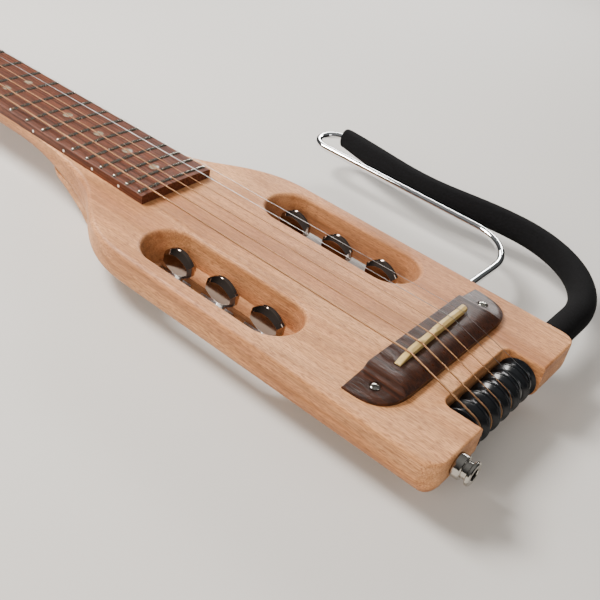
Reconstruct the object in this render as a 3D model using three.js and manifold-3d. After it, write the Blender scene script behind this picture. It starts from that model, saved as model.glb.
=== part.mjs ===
// Travel guitar: a headless, one-piece body and neck. The strings run over the saddle, round rollers in a
// notch at the tail and forward again below the body, to tuners whose buttons stand up in two slots beside
// the strings.
// A bent rod with a foam sleeve plugs into the treble side as a lap rest.
// Millimetres. X runs from the saddle to the nut, Y to the bass side and Z up. While it is built, Z is zero on
// the wooden face and X on the theoretical saddle line; the group at the end moves the origin to the back.
import * as THREE from 'three';
import { mergeVertices } from 'three/addons/utils/BufferGeometryUtils.js';
import Module from 'manifold-3d';

const wasm = await Module();
wasm.setup();

// Clearances
const fitGap = 0.3;
const overrun = 2;

// Scale and strings, string 1 on the treble side
const scaleLength = 628.65;
const fretCount = 22;
const stringDiameters = [0.3, 0.41, 0.61, 0.81, 1.07, 1.35];
const saddlePitch = 9.93;
const nutPitch = 7.3;
const saddleStringHeight = 10.6;
const nutStringHeight = 8.6;

// Body slab
const tailX = -58.2;
const bodyHalf = 69.5;
const slabDepth = 21.5;
const topEdgeRadius = 3.2;
const bottomEdgeRadius = 8;
const tailCornerRadius = 9.5;
const tailEdgeShare = 0.4;
const shoulderStartX = 128;
const shoulderMidX = 176;
const shoulderMidHalf = 51.8;
const flareEndX = 268;
const shoulderLead = 22;
const shoulderTail = 13;
const flareLead = 12;
const flareTail = 68;
const flareTailDrop = 1.4;
const shoulderSlopeShare = 0.745;
const bassShoulderShift = 13.2;
const leastStationGap = 1.2;

// Lower block under the slab, and the heel that its nose makes
const keelHalf = 36.5;
const keelDepth = 34;
const keelEdgeRadius = 3;
const keelRootDepth = 15.5;
const keelMidShare = 0.4;
const keelRoundShares = [1, 0.6, 0.3, 0];
const noseStartX = 195;
const noseBottomLength = 40;
const noseTopLength = 78;
const noseRiseDepth = 18;
const noseRisePower = 1.6;
const noseSideInset = 1.5;
const backRestX = 185;

// Neck
const headReach = 24.15;
const headEndX = scaleLength + headReach;
const headCornerRadius = 6;
const heelStartX = 215;
const heelEndX = 292;
const heelNeckDepth = 15.8;
const headNeckDepth = 14.2;
const neckSideDepth = 3.5;
const neckTopRadius = 0.4;
const neckRoundShare = 0.97;

// Through slots
const slotInnerY = 26.4;
const slotOuterY = 59.4;
const slotFloorDepth = 18.5;
const bassSlotX = [41.5, 147];
const trebleSlotX = [29, 134];

// Tail notch and the string channel in the back
const notchFrontX = -35.8;
const notchHalf = 31;
const notchCornerRadius = 5;
const channelHalf = 28;
const channelEndX = 148;
const channelRoofDepth = 19.8;

// Fretboard and frets
const boardEndReach = 4.2;
const boardEndX = scaleLength / 2 ** (fretCount / 12) - boardEndReach;
const boardEndHalf = 27.25;
const boardNutHalf = 23.2;
const boardThickness = 6.4;
const camberRadius = 400;
const camberSteps = 4;
const fretWidth = 2.4;
const fretHeight = 1.1;
const fretSink = 0.15;
const fretEndInset = 0.4;

// Nut and string anchor
const nutThickness = 5;
const nutHeight = 9.4;
const anchorRearReach = 7.85;
const anchorFrontReach = 23.15;
const anchorRearX = scaleLength + anchorRearReach;
const anchorFrontX = scaleLength + anchorFrontReach;
const anchorBaseThickness = 2;
const anchorHalf = 21.5;
const lipThickness = 2.5;
const lipHeight = 8.2;
const lipSlotFloor = 3.6;
const lipSlotWidth = 2;
const ballRadius = 2.2;
const ballLength = 4.6;
const anchorScrewY = 14.6;

// Truss rod
const trussStartX = 255;
const trussRadius = 3;
const trussAxisDepth = 4.6;
const trussNutRadius = 3.4;
const trussNutLength = 9;
const trussKeyRadius = 2.6;

// Bridge, saddle and pickup
const bridgeFrontX = 1.2;
const bridgeRearX = -24.2;
const bridgeHalf = 60.4;
const bridgeHeight = 6.3;
const bridgeEdgeHeight = 3;
const bridgeFallX = -13.5;
const bridgeCornerX = -4;
const bridgeCornerY = 38;
const bridgeCornerPull = 13;
const bridgeCornerRise = 16;
const wingStartY = 40.5;
const wingFlatY = 46.3;
const wingPullShare = 0.4;
const saddleX = -8.8;
const saddleThickness = 3.8;
const saddleEnds = [-31, 33];
const saddleEndHeight = 6.8;
const saddleAngle = 0.03;
const saddleSeatHeight = 2.6;
const bridgeFloor = 1;
const pickupThickness = 1;
const pickupWidth = 2.4;
const pickupHalf = 30.5;
const leadStartY = 28;
const leadRadius = 0.9;
const leadBoreRadius = 1.6;
const bridgeScrewX = -10;
const bridgeScrewY = 49.7;

// Output jack, whose outer flange also holds a strap
const jackY = 50.3;
const jackDepth = 8.6;
const jackBarrelRadius = 5.6;
const jackCollarRadius = 6.2;
const jackNeckRadius = 4.5;
const jackHoleRadius = 3.2;
const jackCollarLength = 4.6;
const jackNeckLength = 2.8;
const jackFlangeLength = 2.1;
const jackBarrelLength = 32;
const jackPlugLength = 4;
const jackChamfer = 0.5;

// Rollers in the tail notch
const rollerX = -47;
const rollerDepth = 11.1;
const rollerStringRadius = 9.9;
const rollerLipRadius = 10.65;
const rollerHalfWidth = 3.6;
const rollerChamfer = 0.7;
const rollerLipWidth = 0.6;
const rollerGrooveHalf = 0.7;
const axleRadius = 2.5;
const axleSeat = 7.7;
const axleHalf = notchHalf + axleSeat;
const rollerHubRadius = 4.6;

// Tuners
const keyY = 41.5;
const bassKeyX = 61.5;
const trebleKeyX = 49.3;
const keyPitch = 32;
const buttonHalfLength = 10.7;
const buttonHalfHeight = 8.6;
const buttonThickness = 7.4;
const buttonBevel = 2.2;
const buttonRise = 0.4;
const buttonRimShare = 0.5;
const keyShaftRadius = 1.5;
const keyEndDepth = 32.6;
const keyCollarRadius = 2.6;
const keyCollarLength = 2.4;
const wormRadius = 2;
const wormRootRadius = 1.6;
const wormTopDepth = 24;
const wormPitch = 2.2;
const wormCrestShares = [0.3, 0.6];
const wormTurns = 3;
const gearRadius = 4.9;
const gearRootRadius = 4.2;
const gearTeeth = 14;
const gearWidth = 3.4;
const postDepth = 27.8;
const postRadius = 3;
const postEndReach = 1.6;
const postTurns = 2;
const housingRearReach = 5.5;
const housingFrontReach = 18;
const housingTopDepth = 22;
const housingBottomDepth = 33.6;
const housingWidth = 11.5;
const housingBossRadius = 4.2;
const housingScrewReach = 15.5;
const housingScrewLength = 18;

// Lap rest
const restDepth = 11;
const rodRadius = 2.4;
const frontLegX = 12.2;
const rearLegX = -44.5;
const frontBendRadius = 32;
const frontBendY = -108.5;
const farX = 168.5;
const farRadius = 12.5;
const farSweep = Math.PI * 1.0556;
const waveX = 95;
const waveY = -154.5;
const wavePull = 25;
const rearWavePull = 30;
const rearBendX = 25;
const rearBendY = -100;
const rearBendHeight = 62;
const foamRadius = 8.25;
const foamStartTurn = Math.PI * 0.92;
const socketRadius = 3.5;
const socketEndGap = 9.8;
const socketLength = bodyHalf - axleHalf - socketEndGap;
const socketLip = 0.6;

// Screws
const screwHeadRadius = 3;
const screwHeadHeight = 1.4;
const screwShankRadius = 1.5;
const screwLength = 14;
const smallHeadRadius = 2.2;
const smallShankRadius = 1.1;
const headTopShare = 0.6;
const headEdgeShare = 0.35;

// How finely the round shapes are stepped
const finestStep = 0.1;
const topRoundSteps = 2;
const lowRoundSteps = 5;
const noseSteps = 14;
const fineSides = 20;
const roundSides = 16;
const plainSides = 12;
const smallSides = 10;
const screwSides = 8;
const stringSides = 5;
const tailCornerParts = 6;
const headCornerParts = 4;
const curveParts = 8;
const shoulderParts = 8;
const flareParts = 10;
const slotCurveParts = 10;
const bridgeCurveParts = 8;
const legBendParts = 8;
const farBendParts = 10;
const foamStartParts = 2;
const waveParts = 5;
const rearBendParts = 10;
const stringArcSteps = 8;
const buttonSides = 16;
const rollerSides = 14;

// Colours and finishes
const finishes = {
  wood: { color: 0xd2ad8a, roughness: 0.55, metalness: 0 },
  fretboard: { color: 0x5b3425, roughness: 0.6, metalness: 0 },
  bridge: { color: 0x452a1e, roughness: 0.55, metalness: 0 },
  bone: { color: 0xe9dcc0, roughness: 0.4, metalness: 0 },
  nickel: { color: 0xc9c6bf, roughness: 0.25, metalness: 1 },
  steel: { color: 0x9a9ca0, roughness: 0.35, metalness: 1 },
  chrome: { color: 0xd8dadd, roughness: 0.08, metalness: 1 },
  brass: { color: 0xb5924c, roughness: 0.35, metalness: 1 },
  bronze: { color: 0xb98a5a, roughness: 0.35, metalness: 1 },
  plain: { color: 0xc8cacc, roughness: 0.25, metalness: 1 },
  black: { color: 0x141414, roughness: 0.3, metalness: 0 },
  copper: { color: 0x8c5a3c, roughness: 0.4, metalness: 1 },
  foam: { color: 0x2f3031, roughness: 0.95, metalness: 0 },
};

const { lerp, smoothstep } = THREE.MathUtils;
const halfTurn = Math.PI;
const quarterTurn = Math.PI / 2;
const fullTurn = Math.PI * 2;

// Merges a closed geometry's vertices, drops faces without area and turns its faces out.
function closed(geometry) {
  const bare = geometry.clone();
  bare.deleteAttribute('normal');
  bare.deleteAttribute('uv');
  const merged = mergeVertices(bare);
  const points = merged.attributes.position;
  const corner = i => new THREE.Vector3().fromBufferAttribute(points, i);
  const index = [];
  let volume = 0;
  for (let i = 0; i < merged.index.count; i += 3) {
    const [a, b, c] = [0, 1, 2].map(step => merged.index.getX(i + step));
    if (a === b || b === c || c === a) continue;
    index.push(a, b, c);
    volume += corner(a).dot(corner(b).cross(corner(c)));
  }
  if (volume < 0) index.reverse();
  merged.setIndex(index);
  return merged;
}

function toManifold(geometry) {
  const shape = closed(geometry);
  return new wasm.Manifold(new wasm.Mesh({
    numProp: 3,
    vertProperties: Float32Array.from(shape.attributes.position.array),
    triVerts: Uint32Array.from(shape.index.array),
  }));
}

function toGeometry(manifold) {
  const mesh = manifold.getMesh();
  const geometry = new THREE.BufferGeometry();
  geometry.setAttribute('position', new THREE.BufferAttribute(mesh.vertProperties, mesh.numProp));
  geometry.setIndex(new THREE.BufferAttribute(mesh.triVerts, 1));
  return geometry;
}

function join(...geometries) {
  return toGeometry(geometries.map(toManifold).reduce((whole, piece) => whole.add(piece)));
}

function cut(geometry, ...cutters) {
  const tools = cutters.map(toManifold);
  return toGeometry(tools.reduce((rest, tool) => rest.subtract(tool), toManifold(geometry)));
}

function common(geometry, other) {
  return toGeometry(toManifold(geometry).intersect(toManifold(other)));
}

// Skins a row of matching closed outlines and closes both ends with a fan.
function loft(rings) {
  const count = rings[0].length;
  const last = (rings.length - 1) * count;
  const positions = rings.flat().flatMap(point => [point.x, point.y, point.z]);
  const index = [];
  for (let row = 0; row < last; row += count) {
    for (let i = 0; i < count; i++) {
      const next = (i + 1) % count;
      index.push(row + i, row + next, row + count + next);
      index.push(row + i, row + count + next, row + count + i);
    }
  }
  for (const [ring, start] of [[rings[0], 0], [rings.at(-1), last]]) {
    const middle = ring.reduce((sum, point) => sum.add(point), new THREE.Vector3()).divideScalar(count);
    const hub = positions.length / 3;
    positions.push(middle.x, middle.y, middle.z);
    for (let i = 0; i < count; i++) {
      const pair = [start + i, start + (i + 1) % count];
      if (start === 0) pair.reverse();
      index.push(hub, ...pair);
    }
  }
  const geometry = new THREE.BufferGeometry();
  geometry.setAttribute('position', new THREE.Float32BufferAttribute(positions, 3));
  geometry.setIndex(index);
  return geometry;
}

function box(x, y, z) {
  const geometry = new THREE.BoxGeometry(x[1] - x[0], y[1] - y[0], z[1] - z[0]);
  return geometry.translate((x[0] + x[1]) / 2, (y[0] + y[1]) / 2, (z[0] + z[1]) / 2);
}

// Bars and bores whose axis is along Y or X, between two places on that axis
function barAlongY(radius, x, y, z, segments = roundSides) {
  const geometry = new THREE.CylinderGeometry(radius, radius, Math.abs(y[1] - y[0]), segments);
  return geometry.translate(x, (y[0] + y[1]) / 2, z);
}

function barAlongX(radius, x, y, z, segments = roundSides) {
  const geometry = new THREE.CylinderGeometry(radius, radius, Math.abs(x[1] - x[0]), segments);
  return geometry.rotateZ(quarterTurn).translate((x[0] + x[1]) / 2, y, z);
}

function barAlongZ(radius, x, y, z, segments = roundSides) {
  const geometry = new THREE.CylinderGeometry(radius, radius, Math.abs(z[1] - z[0]), segments);
  return geometry.rotateX(quarterTurn).translate(x, y, (z[0] + z[1]) / 2);
}

// A flat outline in X and Y, raised between two heights
function prism(shape, z, curveSegments = curveParts) {
  const options = { depth: z[1] - z[0], bevelEnabled: false, curveSegments };
  const geometry = new THREE.ExtrudeGeometry(shape, options);
  return geometry.translate(0, 0, z[0]);
}

// An outline in Y and Z, run along X
function beamAlongX(shape, x, curveSegments = curveParts) {
  const turn = new THREE.Matrix4().makeBasis(
    new THREE.Vector3(0, 1, 0),
    new THREE.Vector3(0, 0, 1),
    new THREE.Vector3(1, 0, 0),
  );
  return prism(shape, x, curveSegments).applyMatrix4(turn);
}

// An outline in X and Z, run along Y
function beamAlongY(shape, y, curveSegments = curveParts) {
  return prism(shape, [-y[1], -y[0]], curveSegments).rotateX(quarterTurn);
}

function outline(points) {
  return new THREE.Shape(points.map(([x, y]) => new THREE.Vector2(x, y)));
}

function lathe(profile, segments) {
  const points = profile.map(([radius, height]) => new THREE.Vector2(radius, height));
  return new THREE.LatheGeometry(points, segments);
}

// A polyline that a section follows, with the corners shared evenly between their two sides
class BentPath extends THREE.Curve {
  constructor(points) {
    super();
    this.points = points;
  }

  getPoint(t) {
    const place = t * (this.points.length - 1);
    const i = Math.min(Math.floor(place), this.points.length - 2);
    return this.points[i].clone().lerp(this.points[i + 1], place - i);
  }

  getUtoTmapping(u) {
    return u;
  }

  getTangent(t) {
    const i = Math.round(t * (this.points.length - 1));
    const tangent = new THREE.Vector3();
    if (i > 0) tangent.add(this.points[i].clone().sub(this.points[i - 1]).normalize());
    if (i + 1 < this.points.length) tangent.add(this.points[i + 1].clone().sub(this.points[i]).normalize());
    return tangent.normalize();
  }
}

function ring(radius, sides) {
  const points = [];
  for (let i = 0; i < sides; i++) {
    const angle = i / sides * fullTurn;
    points.push([radius * Math.cos(angle), radius * Math.sin(angle)]);
  }
  return outline(points);
}

function tube(points, radius, sides, boreRadius = 0) {
  const section = ring(radius, sides);
  if (boreRadius > 0) section.holes.push(ring(boreRadius, sides));
  return new THREE.ExtrudeGeometry(section, {
    steps: points.length - 1,
    extrudePath: new BentPath(points),
    bevelEnabled: false,
  });
}

// A screw that points down, with its head's underside at zero
function screw(headRadius, headHeight, shankRadius, length) {
  const profile = [
    [0, headHeight],
    [headRadius * headTopShare, headHeight],
    [headRadius, headHeight * headEdgeShare],
    [headRadius, 0],
    [shankRadius, 0],
    [shankRadius, -length + shankRadius],
    [0, -length],
  ];
  return lathe(profile, screwSides).rotateX(quarterTurn);
}

const group = new THREE.Group();
group.position.set(-backRestX, 0, keelDepth);

function add(name, geometry, finish) {
  const shape = closed(geometry).toNonIndexed();
  shape.computeVertexNormals();
  const mesh = new THREE.Mesh(shape, new THREE.MeshStandardMaterial(finish));
  mesh.name = name;
  group.add(mesh);
}

// Places that several pieces share

function fretX(number) {
  return scaleLength / 2 ** (number / 12);
}

function boardHalf(x) {
  return lerp(boardNutHalf, boardEndHalf, (scaleLength - x) / (scaleLength - boardEndX));
}

function camberDrop(y) {
  return camberRadius - Math.sqrt(camberRadius ** 2 - y ** 2);
}

function stringY(number, pitch) {
  return (number - (strings.length + 1) / 2) * pitch;
}

function stringRadius(number) {
  return stringDiameters[number - 1] / 2;
}

function turnPitch(number) {
  return stringDiameters[number - 1] + 2 * fitGap;
}

function tuner(number) {
  const bass = number > 3;
  const side = bass ? 1 : -1;
  const keyX = bass ? bassKeyX + (6 - number) * keyPitch : trebleKeyX + (number - 1) * keyPitch;
  const postX = keyX + gearRadius + wormRadius + fitGap;
  return { side, keyX, postX };
}

const strings = [1, 2, 3, 4, 5, 6];
const bothSides = [['treble', -1], ['bass', 1]];
const jackInnerX = tailX + jackBarrelLength;
const jackOuterX = tailX - jackCollarLength - jackNeckLength - jackFlangeLength;
const nutX = [scaleLength, scaleLength + nutThickness];
const lipX = [anchorFrontX - lipThickness - 2 * ballRadius - 2 * fitGap, 0];
lipX[1] = lipX[0] + lipThickness;
const ballX = lipX[1] + fitGap + ballRadius;
const ballHeight = anchorBaseThickness + fitGap + ballRadius;
const anchorScrewX = (anchorRearX + lipX[0]) / 2;
const housingInnerY = keelHalf + fitGap;
const housingOuterY = housingInnerY + housingWidth;
const gearChamberInnerY = keyY - gearWidth / 2 - fitGap;

// Body and neck

function roundDrop(radius, distance) {
  return distance < radius ? radius - Math.sqrt(radius ** 2 - (radius - distance) ** 2) : 0;
}

function woodDepth(x) {
  const neckDepth = lerp(heelNeckDepth, headNeckDepth, (x - heelEndX) / (headEndX - heelEndX));
  return lerp(slabDepth, neckDepth, smoothstep(x, heelStartX, heelEndX));
}

// Half widths along one side: tail corner, straight side, shoulder, flare, neck and head corner.
// The bass shoulder lies nearer to the nut than the treble one.
function sideStations(shift) {
  const at = (x, half) => new THREE.Vector2(x, half);
  const headCornerX = headEndX - headCornerRadius;
  const headHalf = boardHalf(headCornerX);
  const shoulderMid = at(shoulderMidX + shift, shoulderMidHalf);
  const flareEnd = at(flareEndX + shift, boardHalf(flareEndX + shift));
  const runs = [
    [new THREE.EllipseCurve(tailX + tailCornerRadius, bodyHalf - tailCornerRadius, tailCornerRadius,
      tailCornerRadius, halfTurn, quarterTurn, true), tailCornerParts],
    [new THREE.CubicBezierCurve(
      at(shoulderStartX + shift, bodyHalf),
      at(shoulderStartX + shift + shoulderLead, bodyHalf),
      at(shoulderMid.x - shoulderTail, shoulderMidHalf + shoulderTail * shoulderSlopeShare),
      shoulderMid), shoulderParts],
    [new THREE.CubicBezierCurve(
      shoulderMid,
      at(shoulderMid.x + flareLead, shoulderMidHalf - flareLead * shoulderSlopeShare),
      at(flareEnd.x - flareTail, flareEnd.y + flareTailDrop),
      flareEnd), flareParts],
    [new THREE.LineCurve(flareEnd, at(heelEndX, boardHalf(heelEndX))), 1],
    [new THREE.EllipseCurve(headCornerX, headHalf - headCornerRadius, headCornerRadius, headCornerRadius,
      quarterTurn, 0, true), headCornerParts],
  ];
  const stations = runs.flatMap(([curve, steps]) => curve.getPoints(steps));
  return stations.filter((station, i) => i === 0 || station.x - stations[i - 1].x > finestStep);
}

function halfAt(stations, x) {
  const after = Math.max(1, stations.findIndex(station => station.x >= x));
  const [from, to] = [stations[after - 1], stations[after]];
  return lerp(from.y, to.y, (x - from.x) / (to.x - from.x));
}

// Both sides' half widths at shared places along X
function planStations() {
  const treble = sideStations(0);
  const bass = sideStations(bassShoulderShift);
  const extra = bass.filter(({ x }) => treble.every(station => Math.abs(station.x - x) > leastStationGap));
  const places = [...treble, ...extra].map(({ x }) => x).sort((a, b) => a - b);
  return places.map(x => ({ x, bassHalf: halfAt(bass, x), trebleHalf: halfAt(treble, x) }));
}

// One side of a cross section: flat on top with a small round, and a larger round below that grows into the
// neck's back
function sectionSide(x, half, sign) {
  const inward = x - tailX;
  const edgeShare = lerp(tailEdgeShare, 1, Math.min(1, inward / bottomEdgeRadius));
  const top = -roundDrop(topEdgeRadius, inward);
  const bottom = -woodDepth(x) + roundDrop(bottomEdgeRadius, inward);
  const neckShare = smoothstep(x, heelStartX, heelEndX);
  const topRadius = lerp(topEdgeRadius * edgeShare, neckTopRadius, smoothstep(x, heelStartX, flareEndX));
  const lowWidth = lerp(bottomEdgeRadius * edgeShare, half * neckRoundShare, neckShare);
  const lowHeight = lerp(bottomEdgeRadius * edgeShare, woodDepth(x) - neckSideDepth, neckShare);
  const side = [new THREE.Vector3(x, 0, top)];
  const push = (y, z) => side.push(new THREE.Vector3(x, sign * y, z));
  for (let i = 0; i <= topRoundSteps; i++) {
    const angle = quarterTurn * (1 - i / topRoundSteps);
    push(half - topRadius + topRadius * Math.cos(angle), top - topRadius + topRadius * Math.sin(angle));
  }
  for (let i = 0; i <= lowRoundSteps; i++) {
    const angle = quarterTurn * i / lowRoundSteps;
    push(half - lowWidth + lowWidth * Math.cos(angle), bottom + lowHeight - lowHeight * Math.sin(angle));
  }
  side.push(new THREE.Vector3(x, 0, bottom));
  return side;
}

function bodySection({ x, bassHalf, trebleHalf }) {
  return [...sectionSide(x, bassHalf, 1), ...sectionSide(x, trebleHalf, -1).reverse().slice(1, -1)];
}

// The lower block, level by level, with a nose that runs out into the heel
function keel(stations) {
  const riseDepths = [keelRootDepth, noseRiseDepth, slabDepth, lerp(slabDepth, keelDepth, keelMidShare)];
  const roundDepths = keelRoundShares.map(share => keelDepth - keelEdgeRadius * share);
  const rings = [...riseDepths, ...roundDepths].map(depth => {
    const share = Math.min(1, (keelDepth - depth) / (keelDepth - noseRiseDepth));
    const inset = roundDrop(keelEdgeRadius, keelDepth - depth);
    const length = lerp(noseBottomLength, noseTopLength, share ** noseRisePower) - inset;
    const half = keelHalf - inset;
    const level = [-half, half].map(y => new THREE.Vector3(notchFrontX, y, -depth));
    for (let i = 0; i <= noseSteps; i++) {
      const angle = quarterTurn - halfTurn * i / noseSteps;
      level.push(new THREE.Vector3(noseStartX + length * Math.cos(angle), half * Math.sin(angle), -depth));
    }
    return level;
  });
  const inset = half => Math.max(half - noseSideInset, noseSideInset);
  const bassEdge = stations.map(({ x, bassHalf }) => [x, inset(bassHalf)]);
  const trebleEdge = stations.map(({ x, trebleHalf }) => [x, -inset(trebleHalf)]);
  const shadow = outline([...bassEdge, ...trebleEdge.reverse()]);
  return common(loft(rings), prism(shadow, [-keelDepth - overrun, overrun]));
}

function slotShape([startX, endX], side) {
  const radius = (slotOuterY - slotInnerY) / 2;
  const middleY = side * (slotOuterY + slotInnerY) / 2;
  const shape = new THREE.Shape();
  shape.absarc(endX - radius, middleY, radius, -quarterTurn, quarterTurn, false);
  shape.absarc(startX + radius, middleY, radius, quarterTurn, quarterTurn + halfTurn, false);
  return shape;
}

// A slot goes right through beside the lower block, and stops on a ledge above it.
function slotCutter(slotX, side) {
  const block = box([slotX[0] - overrun, slotX[1] + overrun], [-keelHalf, keelHalf],
    [-slabDepth - 2 * overrun, -slotFloorDepth]);
  return cut(prism(slotShape(slotX, side), [-slabDepth - overrun, overrun], slotCurveParts), block);
}

// A straight-sided pocket that is open at one end and has round corners at the other
function pocketShape(openX, closedX, half, radius) {
  const turn = Math.sign(closedX - openX);
  const shape = new THREE.Shape();
  shape.moveTo(openX, -half);
  shape.lineTo(closedX - turn * radius, -half);
  shape.quadraticCurveTo(closedX, -half, closedX, -half + radius);
  shape.lineTo(closedX, half - radius);
  shape.quadraticCurveTo(closedX, half, closedX - turn * radius, half);
  shape.lineTo(openX, half);
  return shape;
}

const leadStart = new THREE.Vector3(saddleX, leadStartY, bridgeFloor - leadRadius);
const leadEnd = new THREE.Vector3(jackInnerX + fitGap + leadRadius, jackY, -jackDepth);

function leadTube(radius, extra) {
  const direction = leadEnd.clone().sub(leadStart).normalize();
  const start = leadStart.clone().addScaledVector(direction, -extra);
  const end = leadEnd.clone().addScaledVector(direction, extra);
  return tube([start, end], radius, screwSides);
}

function bodyAndNeck() {
  const stations = planStations();
  const blank = join(loft(stations.map(bodySection)), keel(stations));
  const cutters = [
    slotCutter(bassSlotX, 1),
    slotCutter(trebleSlotX, -1),
    prism(pocketShape(tailX - overrun, notchFrontX, notchHalf, notchCornerRadius), [-keelDepth, overrun], 4),
    prism(pocketShape(notchFrontX - overrun, channelEndX, channelHalf, notchCornerRadius),
      [-keelDepth - overrun, -channelRoofDepth], 4),
    barAlongY(axleRadius + fitGap, rollerX, [-axleHalf - fitGap, axleHalf + fitGap], -rollerDepth),
    barAlongX(jackBarrelRadius + fitGap, [tailX - overrun, jackInnerX + 2 * fitGap], jackY, -jackDepth),
    leadTube(leadBoreRadius, overrun),
    box([trussStartX - fitGap, nutX[1] + fitGap], [-trussNutRadius - fitGap, trussNutRadius + fitGap],
      [-trussAxisDepth - trussNutRadius - fitGap, overrun]),
    barAlongX(trussKeyRadius, [nutX[1], headEndX + overrun], 0, -trussAxisDepth, plainSides),
  ];
  for (const side of [-1, 1]) {
    cutters.push(barAlongZ(screwShankRadius + fitGap, bridgeScrewX, side * bridgeScrewY,
      [bridgeEdgeHeight - screwLength - fitGap, overrun], smallSides));
    cutters.push(barAlongZ(screwShankRadius + fitGap, anchorScrewX, side * anchorScrewY,
      [-slabDepth / 2, overrun], smallSides));
  }
  for (const legX of [frontLegX, rearLegX]) {
    cutters.push(barAlongY(socketRadius + fitGap, legX,
      [-bodyHalf - overrun, -bodyHalf + socketLength + fitGap], -restDepth));
  }
  for (const number of strings) {
    const { side, keyX, postX } = tuner(number);
    cutters.push(barAlongY(housingBossRadius + fitGap, postX,
      [side * (channelHalf - overrun), side * (keelHalf + overrun)], -postDepth, plainSides));
    cutters.push(barAlongY(smallShankRadius + fitGap, keyX + housingScrewReach,
      [side * (housingOuterY - housingScrewLength), side * (keelHalf + overrun)], -postDepth, screwSides));
  }
  return cut(blank, ...cutters);
}

add('body_and_neck', bodyAndNeck(), finishes.wood);

// Fretboard, with the frets joined to it

function boardSection(x) {
  const half = boardHalf(x);
  const points = [new THREE.Vector3(x, half, 0), new THREE.Vector3(x, -half, 0)];
  for (let i = 0; i <= camberSteps; i++) {
    const y = lerp(-half, half, i / camberSteps);
    points.push(new THREE.Vector3(x, y, boardThickness - camberDrop(y)));
  }
  return points;
}

// One fret wire, as a crown that follows the camber. Its section is in shares of its width and height.
const fretSectionShares = [[-1, 0], [1, 0], [0.7, 0.65], [0, 1], [-0.7, 0.65]];

function fret(number) {
  const x = fretX(number);
  const half = boardHalf(x) - fretEndInset;
  const sections = [];
  for (let i = 0; i <= camberSteps; i++) {
    const y = lerp(-half, half, i / camberSteps);
    const seat = boardThickness - fretSink - camberDrop(y);
    sections.push(fretSectionShares.map(([across, up]) =>
      new THREE.Vector3(x + across * fretWidth / 2, y, seat + up * (fretHeight + fretSink))));
  }
  return loft(sections);
}

const fretNumbers = Array.from({ length: fretCount }, (_, i) => i + 1);
const board = loft([boardSection(boardEndX), boardSection(scaleLength - fitGap)]);
add('fretboard', join(board, ...fretNumbers.map(fret)), finishes.fretboard);

// Nut and string anchor

// A comb: a level top edge with a notch that clears each string
function combShape(half, height, floorOf, widthOf) {
  const points = [[-half, 0], [half, 0], [half, height]];
  for (const number of [...strings].reverse()) {
    const y = stringY(number, nutPitch);
    const reach = widthOf(number) / 2;
    points.push([y + reach, height], [y + reach, floorOf(number)]);
    points.push([y - reach, floorOf(number)], [y - reach, height]);
  }
  points.push([-half, height]);
  return outline(points);
}

const nutShape = combShape(boardNutHalf, nutHeight,
  number => nutStringHeight - stringRadius(number) - fitGap,
  number => 2 * stringRadius(number) + 2 * fitGap);
add('nut', beamAlongX(nutShape, nutX), finishes.bone);

const lipShape = combShape(anchorHalf, lipHeight, () => lipSlotFloor, () => lipSlotWidth);
const anchorBase = box([anchorRearX, anchorFrontX], [-anchorHalf, anchorHalf], [0, anchorBaseThickness]);
const anchorHoles = [-1, 1].map(side =>
  barAlongZ(screwShankRadius + fitGap, anchorScrewX, side * anchorScrewY, [-overrun, lipHeight], smallSides));
add('string_anchor', cut(join(anchorBase, beamAlongX(lipShape, lipX)), ...anchorHoles), finishes.steel);
const anchorScrew = screw(smallHeadRadius, screwHeadHeight, smallShankRadius, slabDepth / 2);
for (const [name, side] of bothSides) {
  const placed = anchorScrew.clone().translate(anchorScrewX, side * anchorScrewY, anchorBaseThickness);
  add(`anchor_screw_${name}`, placed, finishes.steel);
}

// Truss rod with its nut at the head end, reached through the end of the neck
const trussNutX = [nutX[1] - trussNutLength, nutX[1]];
add('truss_rod', barAlongX(trussRadius, [trussStartX, trussNutX[0] - fitGap], 0, -trussAxisDepth, smallSides),
  finishes.steel);
const trussNutBar = barAlongX(trussNutRadius, trussNutX, 0, -trussAxisDepth, smallSides);
const trussKeyHole = barAlongX(trussKeyRadius, [nutX[1] - trussNutLength / 2, nutX[1] + overrun], 0,
  -trussAxisDepth, 6);
add('truss_rod_nut', cut(trussNutBar, trussKeyHole), finishes.brass);

// Bridge, saddle, pickup and bridge screws

function bridgeShape() {
  const shape = new THREE.Shape();
  shape.moveTo(bridgeFrontX, -bridgeHalf);
  shape.lineTo(bridgeFrontX, bridgeHalf);
  shape.lineTo(bridgeCornerX, bridgeHalf);
  shape.bezierCurveTo(bridgeCornerX - bridgeCornerPull, bridgeHalf,
    bridgeRearX, bridgeCornerY + bridgeCornerRise, bridgeRearX, bridgeCornerY);
  shape.lineTo(bridgeRearX, -bridgeCornerY);
  shape.bezierCurveTo(bridgeRearX, -bridgeCornerY - bridgeCornerRise,
    bridgeCornerX - bridgeCornerPull, -bridgeHalf, bridgeCornerX, -bridgeHalf);
  return shape;
}

// What the plane takes off behind the saddle and off each wing
function rearFall() {
  const shape = new THREE.Shape();
  shape.moveTo(bridgeFallX, bridgeHeight + overrun);
  shape.lineTo(bridgeFallX, bridgeHeight);
  shape.quadraticCurveTo((bridgeFallX + bridgeRearX) / 2, bridgeHeight, bridgeRearX, bridgeEdgeHeight);
  shape.lineTo(bridgeRearX - overrun, bridgeEdgeHeight);
  shape.lineTo(bridgeRearX - overrun, bridgeHeight + overrun);
  return beamAlongY(shape, [-bridgeHalf - overrun, bridgeHalf + overrun], 6);
}

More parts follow.
